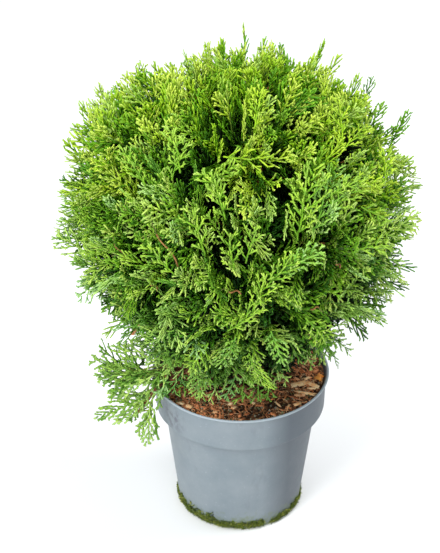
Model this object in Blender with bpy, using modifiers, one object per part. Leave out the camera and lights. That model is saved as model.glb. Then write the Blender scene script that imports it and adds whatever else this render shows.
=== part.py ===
# Globe thuja in a nursery pot: pot, soil, trunk, boughs and masses of flat evergreen sprays.
# Metres, +Z up, origin at the middle of the pot's flat underside.
import math

import bmesh
import bpy
import numpy as np
from mathutils import Matrix, Vector
from mathutils.geometry import closest_point_on_tri

SEED = 41
CLEARANCE = 0.0003            # gap left between pieces that touch

# pot: a moulded nursery container with a stepped collar and a flared lip
POT_HEIGHT = 0.167
RIM_RADIUS = 0.095
LIP_HEIGHT = 0.0042
LIP_WIDTH = 0.0026
COLLAR_TOP_RADIUS = 0.0920
COLLAR_FOOT_RADIUS = 0.0912
COLLAR_FOOT_Z = 0.1265
BODY_TOP_RADIUS = 0.0826
BODY_FOOT_RADIUS = 0.0676
FOOT_CORNER = 0.0032
COLLAR_ROUND = 0.0016         # rounding where the collar steps in to the body
POT_WALL = 0.0018
DRAIN_COUNT = 4
DRAIN_RADIUS = 0.0055
DRAIN_CIRCLE = 0.048

# soil: fills the pot to a finger's width below the rim, a little proud round the trunk
SOIL_EDGE_Z = 0.1545
SOIL_CROWN_Z = 0.1585
SOIL_SEAT_RADIUS = 0.018

# trunk: one leader that runs up through the crown
TRUNK_TOP_Z = 0.455
TRUNK_FOOT_RADIUS = 0.0088
TRUNK_TOP_RADIUS = 0.0026
FLARE_RADIUS = 0.0050         # added at the flat cut, gone within a few flare heights
FLARE_HEIGHT = 0.0080
TRUNK_LEAN = Vector((-0.012, 0.006, 0.0))
TRUNK_BOW = 0.004

# crown: a globe, a little taller than wide
CROWN_CENTRE = Vector((-0.005, 0.0, 0.353))
CROWN_WIDE = 0.1780           # radius across, to the sprays' tips
CROWN_TALL = 0.186            # radius up and down
SHOULDER_POWER = 2.3          # 2 is an ellipse; more gives the crown broad shoulders
FOOT_POWER = 1.95             # and less draws it in towards its foot
MASS_COUNT = 24
MASS_DEPTH = 0.655            # how far out the masses' centres lie, as a share of the crown
FIRST_TURN = 0.17             # turns the whole set so that the low branch hangs between two masses
LOWEST_RISE = -0.86           # lowest mass direction, as the sine of its rise
CELL_GAP = 0.0004             # each mass stops this far short of the plane to its neighbour
POT_MARGIN = 0.0032           # foliage keeps this far off the pot

# low branch: two masses that hang over the rim on one side
LOW_SIDE = Vector((-0.925, -0.38, 0.0)).normalized()
LOW_CENTRES = (Vector((-0.109, -0.051, 0.197)), Vector((-0.106, -0.060, 0.154)))
LOW_OUTS = (Vector((-0.93, -0.30, 0.12)), Vector((-0.62, -0.28, -0.73)))
LOW_REACH = 0.029

# boughs
SAMPLE_STEP = 0.002           # spacing of the points that stand for a limb in clearance tests
LIMB_MARGIN = 0.0007          # blades and twigs keep this far off limbs
CORE_LIMB_MARGIN = 0.002
BOUGH_MARGIN = 0.0012         # between two boughs
BOUGH_LOW_Z = 0.176
BOUGH_HIGH_Z = 0.425
BOUGH_FOOT_RADIUS = 0.0040
BOUGH_TIP_RADIUS = 0.0019
BOUGH_POINTS = 5
BOUGH_SLIDE = 0.003           # step by which a bough's foot moves to pass clear of another
BOUGH_SWEEP = 0.35            # share of a bough's reach over which each of its ends runs straight

# foliage
CORE_RADIUS = 0.0420
LOW_CORE_RADIUS = 0.0160
CORE_MARGIN = 0.0015          # between a core and the planes round its space
TWIGS = 5
LOW_TWIGS = 4
TWIG_DEPTH = 0.88             # how far out the straight twigs end, as a share of the crown
TWIG_FAN = math.radians(62)   # lean of the other twigs away from the straight one
LOW_TWIG = 0.018
SPRAYS_ON_FIRST = ((0.97, 0.0), (0.70, 0.9), (0.55, -0.9))
SPRAYS_ON_OTHERS = (((0.97, 0.3), (0.62, -0.8)), ((0.97, -0.3), (0.62, 0.8)))
TWIG_FOOT_RADIUS = 0.0016
TWIG_TIP_RADIUS = 0.0007
STEM_RADIUS = 0.0018
STEM_SHOWS = 0.012            # length of stem between a bough's tip and its mass's core
SPRAY_WIDTH = 0.60            # full width as a share of the length
SPRAY_WIDEST = 0.036
SPRAY_MAX = 0.068
SPRAY_MIN = 0.026
SPRAY_THICK = 0.0026
SPRAY_TEETH = 2


def clear_scene():
    for obj in list(bpy.data.objects):
        bpy.data.objects.remove(obj, do_unlink=True)


def new_collection(name):
    collection = bpy.data.collections.new(name)
    bpy.context.scene.collection.children.link(collection)
    return collection


def material(name, colour, roughness, metallic=0.0):
    mat = bpy.data.materials.new(name)
    mat.use_nodes = True
    shader = mat.node_tree.nodes["Principled BSDF"]
    shader.inputs["Base Color"].default_value = (*colour, 1.0)
    shader.inputs["Roughness"].default_value = roughness
    shader.inputs["Metallic"].default_value = metallic
    mat.diffuse_color = (*colour, 1.0)
    return mat


def object_from_bmesh(name, bm, collection, mat):
    mesh = bpy.data.meshes.new(name)
    bm.to_mesh(mesh)
    bm.free()
    return object_from_mesh(name, mesh, collection, mat)


def object_from_mesh(name, mesh, collection, mat):
    obj = bpy.data.objects.new(name, mesh)
    mesh.materials.clear()
    mesh.materials.append(mat)
    collection.objects.link(obj)
    return obj


def evaluated_mesh(obj):
    depsgraph = bpy.context.evaluated_depsgraph_get()
    depsgraph.update()
    return bpy.data.meshes.new_from_object(obj.evaluated_get(depsgraph))


def turned(name, profile, steps, collection, mat):
    """A profile of (radius, height) points turned about Z."""
    mesh = bpy.data.meshes.new(name)
    edges = [(i, i + 1) for i in range(len(profile) - 1)]
    mesh.from_pydata([(r, 0.0, z) for r, z in profile], edges, [])
    obj = object_from_mesh(name, mesh, collection, mat)
    screw = obj.modifiers.new("turn", "SCREW")
    screw.axis = "Z"
    screw.angle = math.tau
    screw.steps = steps
    screw.render_steps = steps
    screw.use_merge_vertices = True
    screw.merge_threshold = 0.00005
    return obj


def tube(name, points, radii, resolution, collection, mat):
    """A tapered limb: a poly curve with filled caps, made a closed mesh."""
    curve = bpy.data.curves.new(name, "CURVE")
    curve.dimensions = "3D"
    curve.bevel_depth = 1.0
    curve.bevel_resolution = resolution
    curve.use_fill_caps = True
    spline = curve.splines.new("POLY")
    spline.points.add(len(points) - 1)
    for point, place, radius in zip(spline.points, points, radii):
        point.co = (*place, 1.0)
        point.radius = radius
    guide = bpy.data.objects.new(name + "_guide", curve)
    collection.objects.link(guide)
    mesh = evaluated_mesh(guide)
    bpy.data.objects.remove(guide, do_unlink=True)
    bm = bmesh.new()
    bm.from_mesh(mesh)
    bmesh.ops.remove_doubles(bm, verts=bm.verts, dist=0.00001)
    bmesh.ops.recalc_face_normals(bm, faces=bm.faces)
    bm.to_mesh(mesh)
    bm.free()
    mesh.shade_smooth()
    mesh.set_sharp_from_angle(angle=math.radians(40))
    return object_from_mesh(name, mesh, collection, mat)


# pot and soil

def pot_outside():
    """Outer profile, from the lip's crest down to the middle of the underside."""
    return [
        (RIM_RADIUS - 0.0008, POT_HEIGHT),
        (RIM_RADIUS, POT_HEIGHT - 0.0008),
        (RIM_RADIUS - 0.0002, POT_HEIGHT - 0.0020),
        (COLLAR_TOP_RADIUS, POT_HEIGHT - LIP_HEIGHT),
        (COLLAR_FOOT_RADIUS, COLLAR_FOOT_Z + COLLAR_ROUND),
        (COLLAR_FOOT_RADIUS - COLLAR_ROUND, COLLAR_FOOT_Z),
        (BODY_TOP_RADIUS, COLLAR_FOOT_Z - 0.0006),
        (BODY_FOOT_RADIUS + 0.0006, FOOT_CORNER),
        (BODY_FOOT_RADIUS - 0.0006, FOOT_CORNER * 0.3),
        (BODY_FOOT_RADIUS - FOOT_CORNER, 0.0),
        (0.0, 0.0),
    ]


def pot_inside(inset, top_z):
    """Inner profile moved in by inset, from the floor's middle out and up to top_z."""
    step_z = COLLAR_FOOT_Z + POT_WALL + inset
    profile = [
        (0.0, POT_WALL + inset),
        (BODY_FOOT_RADIUS - FOOT_CORNER - POT_WALL - inset, POT_WALL + inset),
        (BODY_FOOT_RADIUS - POT_WALL - inset, POT_WALL + FOOT_CORNER),
        (BODY_TOP_RADIUS - POT_WALL - inset, step_z - COLLAR_ROUND / 2),
        (COLLAR_FOOT_RADIUS - POT_WALL - inset - COLLAR_ROUND, step_z),
        (COLLAR_FOOT_RADIUS - POT_WALL - inset, step_z + COLLAR_ROUND),
    ]
    share = (top_z - COLLAR_FOOT_Z) / (POT_HEIGHT - COLLAR_FOOT_Z)
    radius = COLLAR_FOOT_RADIUS + (COLLAR_TOP_RADIUS - COLLAR_FOOT_RADIUS) * share
    profile.append((radius - POT_WALL - inset, top_z))
    return profile


def build_pot(collection, cutters):
    mat = material("pot_grey_plastic", (0.27, 0.33, 0.37), 0.55)
    lip_inside = (RIM_RADIUS - LIP_WIDTH, POT_HEIGHT)
    profile = pot_inside(0.0, POT_HEIGHT - LIP_HEIGHT) + [lip_inside] + pot_outside()
    pot = turned("pot", profile, 40, collection, mat)
    for i in range(DRAIN_COUNT):
        angle = math.tau * (i + 0.5) / DRAIN_COUNT
        bm = bmesh.new()
        bmesh.ops.create_cone(bm, cap_ends=True, segments=12, radius1=DRAIN_RADIUS,
                              radius2=DRAIN_RADIUS, depth=POT_WALL * 4)
        cutter = object_from_bmesh(f"drain_cutter_{i + 1}", bm, cutters, mat)
        cutter.location = (DRAIN_CIRCLE * math.cos(angle), DRAIN_CIRCLE * math.sin(angle), 0.0)
        cutter.hide_render = True
        cutter.display_type = "WIRE"
        cut = pot.modifiers.new(f"drain_{i + 1}", "BOOLEAN")
        cut.operation = "DIFFERENCE"
        cut.object = cutter


def build_soil(collection):
    mat = material("bark_compost", (0.16, 0.10, 0.055), 0.95)
    inner = pot_inside(CLEARANCE, SOIL_EDGE_Z)
    top = [
        (0.0, SOIL_CROWN_Z),
        (SOIL_SEAT_RADIUS, SOIL_CROWN_Z),
        (SOIL_SEAT_RADIUS * 1.8, SOIL_CROWN_Z - 0.0012),
        (BODY_TOP_RADIUS - POT_WALL, SOIL_EDGE_Z + 0.0008),
    ]
    turned("soil", top + inner[::-1], 24, collection, mat)


# trunk and boughs

def trunk_centre(z):
    """The leader's middle at height z: a steady lean with one shallow bow in it."""
    share = (z - SOIL_CROWN_Z) / (TRUNK_TOP_Z - SOIL_CROWN_Z)
    bow = TRUNK_BOW * math.sin(math.pi * 1.6 * share) * share
    return Vector((0.0, 0.0, z)) + TRUNK_LEAN * share ** 1.4 + Vector((bow, -0.6 * bow, 0.0))


def trunk_radius(z):
    """True taper, with the root flare dying away above the flat cut."""
    height = z - SOIL_CROWN_Z
    share = height / (TRUNK_TOP_Z - SOIL_CROWN_Z)
    taper = TRUNK_FOOT_RADIUS + (TRUNK_TOP_RADIUS - TRUNK_FOOT_RADIUS) * share ** 0.85
    return taper + FLARE_RADIUS * math.exp(-height / FLARE_HEIGHT)


def build_trunk(collection, mat):
    foot = SOIL_CROWN_Z + CLEARANCE
    heights = [foot, foot + 0.003, foot + 0.008, foot + 0.016]
    heights += list(np.linspace(foot + 0.030, TRUNK_TOP_Z, 8))
    points = [trunk_centre(z) for z in heights]
    points[1].x, points[1].y = points[0].x, points[0].y
    radii = [trunk_radius(z) for z in heights]
    tube("trunk", points, radii, 4, collection, mat)
    return list(zip(points, radii))


def bough_path(mass):
    """A limb that leaves the trunk's side, sweeps up or out and stops short of its mass's core."""
    height = mass["leaves_trunk_z"]
    axis = trunk_centre(height)
    tip = mass["centre"] - mass["entry"] * mass["entry_length"]
    level = Vector((tip.x - axis.x, tip.y - axis.y, 0.0)).normalized()
    rise = mass["first_rise"]
    first = (level + Vector((0.0, 0.0, rise))).normalized()
    offset = trunk_radius(height) + mass["bough_radius"] * first.z + CLEARANCE
    start = axis + level * offset
    reach = (tip - start).length
    bend_a = start + first * reach * BOUGH_SWEEP
    bend_b = tip - mass["entry"] * reach * BOUGH_SWEEP
    points = []
    for t in np.linspace(0.0, 1.0, BOUGH_POINTS):
        s = 1.0 - t
        points.append(start * s ** 3 + bend_a * 3 * s * s * t + bend_b * 3 * s * t * t + tip * t ** 3)
    return points


def settle_bough(mass, limbs):
    """Slides a bough's foot up or down the trunk until it passes clear of the limbs before it."""
    height = mass["leaves_trunk_z"]
    foot, tip = mass["bough_radius"], BOUGH_TIP_RADIUS
    radii = [foot + (tip - foot) * (i / (BOUGH_POINTS - 1)) ** 0.8 for i in range(BOUGH_POINTS)]
    for step in range(24):
        slide = BOUGH_SLIDE * ((step + 1) // 2) * (1 if step % 2 else -1)
        mass["leaves_trunk_z"] = max(BOUGH_LOW_Z - 0.002, height + slide)
        points = bough_path(mass)
        if limbs_apart(list(zip(points, radii)), limbs):
            break
    return points, radii


def limbs_apart(limb, limbs):
    _, places, radii = limb_samples([limb])
    for other in limbs:
        _, other_places, other_radii = limb_samples([other])
        away = np.linalg.norm(places[:, None] - other_places[None], axis=2)
        if (away < radii[:, None] + other_radii[None] + BOUGH_MARGIN).any():
            return False
    return True


def build_bough(mass, boughs, collection, mat):
    points, radii = settle_bough(mass, boughs)
    tube(mass["name"].replace("foliage", "bough"), points, radii, 1, collection, mat)
    mass["tip"] = points[-1]
    mass["tip_way"] = (points[-1] - points[-2]).normalized()
    return list(zip(points, radii))


# crown layout

def crown_scale(way):
    """Distance from the crown's middle to its surface along a unit direction."""
    power = SHOULDER_POWER if way.z > 0.0 else FOOT_POWER
    across = math.hypot(way.x, way.y) / CROWN_WIDE
    return (across ** power + (abs(way.z) / CROWN_TALL) ** power) ** (-1.0 / power)


def lay_out_masses(rng):
    """Masses spaced by the golden angle over the crown, then the two on the low branch."""
    masses = []
    golden = math.pi * (3.0 - math.sqrt(5.0))
    for i in range(MASS_COUNT):
        rise = 1.0 - (1.0 - LOWEST_RISE) * (i + 0.35) / (MASS_COUNT - 0.3)
        level = math.sqrt(max(0.0, 1.0 - rise * rise))
        angle = golden * i + FIRST_TURN + rng.uniform(-0.08, 0.08)
        way = Vector((level * math.cos(angle), level * math.sin(angle), rise)).normalized()
        centre = CROWN_CENTRE + way * crown_scale(way) * MASS_DEPTH * rng.uniform(0.97, 1.03)
        low_share = (rise - LOWEST_RISE) / (1.0 - LOWEST_RISE)
        leaves = BOUGH_LOW_Z + (BOUGH_HIGH_Z - BOUGH_LOW_Z) * low_share ** 1.15 + rng.uniform(-0.003, 0.003)
        entry = (centre - trunk_centre(leaves) + Vector((0.0, 0.0, 0.02))).normalized()
        masses.append({
            "name": f"foliage_{i + 1:02d}", "centre": centre, "out": way, "low": False,
            "leaves_trunk_z": leaves, "entry": entry, "entry_length": CORE_RADIUS + STEM_SHOWS,
            "first_rise": 0.45, "bough_radius": BOUGH_FOOT_RADIUS - 0.0014 * low_share,
            "core": CORE_RADIUS,
        })
    masses[0]["name"] = "foliage_top"
    for i, (centre, out) in enumerate(zip(LOW_CENTRES, LOW_OUTS)):
        over_rim = Vector((LOW_SIDE.x, LOW_SIDE.y, 0.25 if i == 0 else -1.3)).normalized()
        masses.append({
            "name": f"foliage_low_{i + 1}", "centre": centre, "out": out.normalized(), "low": True,
            "leaves_trunk_z": 0.203 if i == 0 else 0.181, "entry": over_rim,
            "entry_length": LOW_CORE_RADIUS + (0.014 if i == 0 else 0.004),
            "first_rise": 0.10 if i == 0 else 0.16, "bough_radius": 0.0030, "core": LOW_CORE_RADIUS,
        })
    for mass in masses:
        mass["planes"] = space_planes(mass, masses)
    return masses


def space_planes(mass, masses):
    """Planes that bound a mass's own space: halfway to each neighbour, and clear of the pot."""
    planes = []
    for other in masses:
        if other is mass:
            continue
        towards = (other["centre"] - mass["centre"]).normalized()
        planes.append((mass["centre"].lerp(other["centre"], 0.5) - towards * CELL_GAP, towards))
    if mass["low"]:
        planes.append((LOW_SIDE * (RIM_RADIUS + POT_MARGIN), -LOW_SIDE))
    else:
        planes.append((Vector((0.0, 0.0, POT_HEIGHT + POT_MARGIN)), Vector((0.0, 0.0, -1.0))))
    return planes


def in_space(mass, points):
    return all((p - place).dot(towards) < 0.0 for place, towards in mass["planes"] for p in points)


def limb_samples(limbs):
    """Points every few millimetres along each limb, with the limb's radius there."""
    places, radii = [], []
    for limb in limbs:
        for (a, radius_a), (b, radius_b) in zip(limb, limb[1:]):
            count = max(2, int((b - a).length / SAMPLE_STEP))
            for t in np.linspace(0.0, 1.0, count):
                places.append(a.lerp(b, t))
                radii.append(radius_a + (radius_b - radius_a) * t)
    return places, np.array([tuple(p) for p in places]), np.array(radii)


def clear_of_limbs(samples, corners, faces, margin=LIMB_MARGIN):
    """True where no face of a piece comes within a margin of a limb."""
    places, table, radii = samples
    middle = sum(corners, Vector()) / len(corners)
    span = max((c - middle).length for c in corners)
    near = np.nonzero(np.linalg.norm(table - np.array(middle), axis=1) < span + radii + margin)[0]
    for i in near:
        for face in faces:
            hit = closest_point_on_tri(places[i], *(corners[k] for k in face))
            if (hit - places[i]).length < radii[i] + margin:
                return False
    return True


# foliage

def frame_matrix(origin, way, normal):
    """Local X along way, local Z as near to normal as it can be."""
    x = way.normalized()
    z = (normal - x * normal.dot(x)).normalized()
    y = z.cross(x)
    turn = Matrix((x, y, z)).transposed().to_4x4()
    return Matrix.Translation(origin) @ turn


def spray_corners(length, droop):
    """A toothed blade: outline teeth swept forward, and one crest above and below the rib."""
    half = min(length * SPRAY_WIDTH, SPRAY_WIDEST) / 2
    side = []
    steps = SPRAY_TEETH * 2 - 1
    for i in range(steps):
        t = 0.20 + 0.60 * i / (steps - 1)
        swell = math.sin(math.pi * min(1.0, t * 0.86 + 0.08)) ** 0.7
        tooth = i % 2 == 0
        side.append((t + (0.10 if tooth else 0.0), half * swell * (1.0 if tooth else 0.42)))
    outline = [(0.0, 0.0)] + [(t, w) for t, w in side] + [(1.0, 0.0)] + [(t, -w) for t, w in side[::-1]]
    corners = [Vector((t * length, w, -droop * length * t * t)) for t, w in outline]
    crest = 0.42
    middle = Vector((crest * length, 0.0, -droop * length * crest * crest))
    corners.append(middle + Vector((0.0, 0.0, SPRAY_THICK / 2)))
    corners.append(middle - Vector((0.0, 0.0, SPRAY_THICK / 2)))
    count = len(outline)
    faces = []
    for i in range(count):
        j = (i + 1) % count
        faces.append((j, i, count))
        faces.append((i, j, count + 1))
    return corners, faces


def stick_corners(start, end, radius_a, radius_b, sides):
    """A straight tapering twig with flat ends."""
    matrix = frame_matrix(start, end - start, Vector((0.31, 0.22, 0.92)))
    length = (end - start).length
    corners = []
    for along, radius in ((0.0, radius_a), (length, radius_b)):
        for i in range(sides):
            angle = math.tau * i / sides
            corners.append(matrix @ Vector((along, radius * math.cos(angle), radius * math.sin(angle))))
    faces = []
    for i in range(sides):
        j = (i + 1) % sides
        faces += [(i, j, sides + j), (i, sides + j, sides + i)]
    for i in range(1, sides - 1):
        faces += [(0, i + 1, i), (sides, sides + i, sides + i + 1)]
    return corners, faces


def add_piece(name, corners, faces, collection, mat):
    bm = bmesh.new()
    verts = [bm.verts.new(c) for c in corners]
    for face in faces:
        bm.faces.new([verts[k] for k in face])
    bmesh.ops.recalc_face_normals(bm, faces=bm.faces)
    return object_from_bmesh(name, bm, collection, mat)


def build_core(mass, rng, samples, collection, mat):
    """A lumpy ball inside the mass, drawn in wherever it would leave its space or near a limb."""
    bm = bmesh.new()
    bmesh.ops.create_icosphere(bm, subdivisions=2, radius=1.0)
    bm.verts.ensure_lookup_table()
    centre = mass["centre"]
    turn = Matrix.Rotation(rng.uniform(0.0, math.tau), 3, "Z")
    ways = [turn @ vert.co.normalized() for vert in bm.verts]
    faces = [tuple(vert.index for vert in face.verts) for face in bm.faces]
    radii = []
    for way in ways:
        radius = mass["core"] * rng.uniform(0.80, 1.20)
        for place, towards in mass["planes"]:
            closing = way.dot(towards)
            if closing > 0.05:
                radius = min(radius, ((place - centre).dot(towards) - CORE_MARGIN) / closing)
        radii.append(radius)
    for _ in range(20):
        corners = [centre + way * radius for way, radius in zip(ways, radii)]
        touching = [f for f in faces if not clear_of_limbs(
            samples, [corners[k] for k in f], [(0, 1, 2)], CORE_LIMB_MARGIN)]
        if not touching:
            break
        for k in {k for face in touching for k in face}:
            radii[k] *= 0.9
    for vert, corner in zip(bm.verts, corners):
        vert.co = corner
    return object_from_bmesh(mass["name"], bm, collection, mat)


def spray_way(mass, root, lean, rng):
    """Sprays point out of the crown, upright near its top and drooping towards its foot."""
    out = (root - CROWN_CENTRE).normalized()
    if mass["low"]:
        out = mass["out"]
    lift = 0.75 * max(0.0, out.z) + 0.22 if out.z > -0.25 else -0.15
    jitter = Vector([rng.uniform(-0.28, 0.28) for _ in range(3)])
    return (out * 0.85 + lean * 0.75 + Vector((0.0, 0.0, lift)) + jitter).normalized()


def reach_along(mass, root, way, rng):
    """Length that takes a spray's tip to the crown's surface, some a little past it."""
    over = rng.uniform(0.95, 1.035)
    if mass["low"]:
        return LOW_REACH * over
    length = SPRAY_MIN
    while length < SPRAY_MAX:
        tip = root + way * length - CROWN_CENTRE
        if tip.length > crown_scale(tip.normalized()) * over:
            break
        length += 0.001
    return length


def try_spray(mass, root, way, normal, length, droop, samples):
    """The blade's corners and faces, shortened up to three times to stay in its space, or None."""
    for shorter in (1.0, 0.84, 0.70):
        size = length * shorter
        if size < SPRAY_MIN:
            return None
        corners, faces = spray_corners(size, droop)
        matrix = frame_matrix(root - way * 0.0012, way, normal)
        corners = [matrix @ c for c in corners]
        if in_space(mass, corners) and clear_of_limbs(samples, corners, faces):
            return corners, faces
    return None


def twig_ends(mass, rng):
    """One twig runs straight out, and the others fan round it towards the edge of the mass's space."""
    out = mass["out"]
    side = out.orthogonal().normalized()
    turn = rng.uniform(0.0, math.tau)
    longest = LOW_TWIG if mass["low"] else crown_scale(out) * (TWIG_DEPTH - MASS_DEPTH)
    others = (LOW_TWIGS if mass["low"] else TWIGS) - 1
    ends = [mass["centre"] + out * longest * rng.uniform(0.9, 1.1)]
    for i in range(others):
        angle = turn + math.tau * (i + rng.uniform(-0.15, 0.15)) / others
        lean = TWIG_FAN * rng.uniform(0.85, 1.15)
        way = out * math.cos(lean) + (Matrix.Rotation(angle, 3, out) @ side) * math.sin(lean)
        length = longest * 1.25
        while length > longest * 0.6 and not in_space(mass, [mass["centre"] + way * (length + 0.004)]):
            length *= 0.95
        ends.append(mass["centre"] + way * length)
    return ends


def build_mass(mass, rng, samples, collection, scratch, mat):
    core = build_core(mass, rng, samples, collection, mat)
    centre = mass["centre"]
    tilt = mass["tip_way"].cross((centre - mass["tip"]).normalized()).length
    start = mass["tip"] + mass["tip_way"] * (CLEARANCE + STEM_RADIUS * tilt)
    stem = stick_corners(start, centre, STEM_RADIUS, STEM_RADIUS * 0.8, 4)
    add_piece("stem", *stem, scratch, mat)
    made = 0
    for i, end in enumerate(twig_ends(mass, rng)):
        twig = stick_corners(centre, end, TWIG_FOOT_RADIUS, TWIG_TIP_RADIUS, 3)
        if not (in_space(mass, twig[0]) and clear_of_limbs(samples, *twig)):
            continue
        add_piece("twig", *twig, scratch, mat)
        away = (end - centre).normalized()
        across = away.orthogonal().normalized() if i == 0 else away.cross(mass["out"]).normalized()
        # one spray ends the twig, the others leave it to one side or the other
        for share, lean in SPRAYS_ON_FIRST if i == 0 else SPRAYS_ON_OTHERS[i % 2]:
            root = centre.lerp(end, share)
            way = spray_way(mass, root, away * (1.0 - abs(lean)) + across * lean, rng)
            normal = mass["out"] * (1.0 if mass["out"].z < 0.2 else 0.1) + away.cross(way)
            normal += Vector([rng.uniform(-0.5, 0.5) for _ in range(3)])
            length = reach_along(mass, root, way, rng)
            droop = rng.uniform(-0.02, 0.08) if mass["out"].z > 0 else rng.uniform(0.02, 0.14)
            blade = try_spray(mass, root, way, normal, length, droop, samples)
            if blade:
                add_piece("spray", *blade, scratch, mat)
                made += 1
    fuse(core, scratch)
    return made


def fuse(obj, pieces):
    """Joins a collection of pieces to the object by one union and removes them."""
    union = obj.modifiers.new("fuse", "BOOLEAN")
    union.operation = "UNION"
    union.operand_type = "COLLECTION"
    union.collection = pieces
    union.solver = "MANIFOLD"
    mesh = evaluated_mesh(obj)
    obj.modifiers.clear()
    obj.data = mesh
    for piece in list(pieces.objects):
        bpy.data.objects.remove(piece, do_unlink=True)
    keep_largest_shell(mesh)


def keep_largest_shell(mesh):
    """Drops loose scraps and fills sealed hollows: only the shell of the largest volume stays."""
    bm = bmesh.new()
    bm.from_mesh(mesh)
    bmesh.ops.triangulate(bm, faces=bm.faces)
    unseen = set(bm.verts)
    shells = []
    while unseen:
        stack = [unseen.pop()]
        shell = []
        while stack:
            vert = stack.pop()
            shell.append(vert)
            for edge in vert.link_edges:
                other = edge.other_vert(vert)
                if other in unseen:
                    unseen.remove(other)
                    stack.append(other)
        shells.append(shell)
    shells.sort(key=shell_volume)
    for shell in shells[:-1]:
        bmesh.ops.delete(bm, geom=shell, context="VERTS")
    bm.to_mesh(mesh)
    bm.free()


def shell_volume(shell):
    faces = {face for vert in shell for face in vert.link_faces}
    total = 0.0
    for face in faces:
        a, b, c = (v.co for v in face.verts)
        total += a.dot(b.cross(c)) / 6.0
    return total


def main():
    clear_scene()
    rng = np.random.default_rng(SEED)
    plant = new_collection("potted_thuja")
    cutters = new_collection("cutters")
    scratch = new_collection("pieces_to_fuse")
    bark = material("thuja_bark", (0.16, 0.085, 0.045), 0.9)
    greens = [material(f"thuja_green_{i + 1}", colour, 0.7) for i, colour in enumerate(
        ((0.12, 0.24, 0.03), (0.16, 0.30, 0.04), (0.09, 0.19, 0.03)))]

    build_pot(plant, cutters)
    build_soil(plant)
    trunk = build_trunk(plant, bark)
    masses = lay_out_masses(rng)
    boughs = []
    for mass in masses[:0:-1]:
        boughs.append(build_bough(mass, boughs, plant, bark))
    masses[0]["tip"] = trunk_centre(TRUNK_TOP_Z)
    masses[0]["tip_way"] = (trunk_centre(TRUNK_TOP_Z) - trunk_centre(TRUNK_TOP_Z - 0.02)).normalized()
    samples = limb_samples([trunk] + boughs)
    total = 0
    for i, mass in enumerate(masses):
        made = build_mass(mass, rng, samples, plant, scratch, greens[i % len(greens)])
        total += made
        print(mass["name"], "sprays", made, "triangles", len(plant.objects[mass["name"]].data.polygons))
    print("sprays in all", total)
    bpy.data.collections.remove(scratch)


main()
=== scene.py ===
import math

import bpy
import numpy as np
from mathutils import Matrix, Vector


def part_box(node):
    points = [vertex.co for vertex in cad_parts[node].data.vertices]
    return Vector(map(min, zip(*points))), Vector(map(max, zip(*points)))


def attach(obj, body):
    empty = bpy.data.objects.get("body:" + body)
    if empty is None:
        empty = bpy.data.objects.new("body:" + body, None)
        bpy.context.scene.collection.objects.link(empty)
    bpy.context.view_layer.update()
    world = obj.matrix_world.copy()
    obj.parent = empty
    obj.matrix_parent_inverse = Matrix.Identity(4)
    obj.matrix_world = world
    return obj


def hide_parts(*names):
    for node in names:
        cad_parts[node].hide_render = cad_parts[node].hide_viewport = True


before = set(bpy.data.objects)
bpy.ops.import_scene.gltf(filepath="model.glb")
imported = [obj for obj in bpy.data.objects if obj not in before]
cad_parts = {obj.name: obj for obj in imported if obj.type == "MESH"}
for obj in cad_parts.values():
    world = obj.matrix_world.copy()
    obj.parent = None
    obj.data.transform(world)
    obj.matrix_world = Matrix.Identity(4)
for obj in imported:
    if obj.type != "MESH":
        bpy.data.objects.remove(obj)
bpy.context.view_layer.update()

potLow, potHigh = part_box("pot")
soilLow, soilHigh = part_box("soil")
print("frame loaded:", len(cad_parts), "nodes")


# shared helpers

def fromSrgb(red, green, blue):
    # screen colour in 0..255 to linear light: ((c + 0.055) / 1.055) ^ 2.4, straight line near black
    share = np.array([red, green, blue]) / 255.0
    linear = np.where(share <= 0.04045, share / 12.92, ((share + 0.055) / 1.055) ** 2.4)
    return (*[float(c) for c in linear], 1.0)


def unit(ways):
    # each way divided by its own length
    return ways / np.maximum(np.linalg.norm(ways, axis=-1, keepdims=True), 1e-12)


def levelWays(turn):
    # (cos a, sin a, 0)
    return np.stack([np.cos(turn), np.sin(turn), np.zeros_like(turn)], -1)


def besideOf(ways):
    # a way square to each one, set by a fixed way that no limb runs along
    return unit(np.cross(ways, (0.31, 0.22, 0.92)))


def latticeNumber(cells, seed):
    # a fixed number from -1 to 1 for each lattice corner, mixed from its three whole coordinates
    mixed = cells[..., 0] * 374761393 + cells[..., 1] * 668265263 + cells[..., 2] * 922354697 + seed * 144665
    mixed &= 0xFFFFFFFF
    mixed = ((mixed ^ (mixed >> 13)) * 1274126177) & 0xFFFFFFFF
    return (mixed ^ (mixed >> 16)) / 2147483647.5 - 1.0


def softNoise(places, size, seed):
    # value noise: the eight corner numbers round a place, blended by s = p * p * (3 - 2 p) on each axis
    cells = np.asarray(places) / size
    base = np.floor(cells).astype(np.int64)
    part = cells - base
    part = part * part * (3.0 - 2.0 * part)
    total = np.zeros(cells.shape[:-1])
    for corner in np.ndindex(2, 2, 2):
        weight = np.prod(np.where(np.array(corner), part, 1.0 - part), axis=-1)
        total += weight * latticeNumber(base + np.array(corner), seed)
    return total


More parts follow.
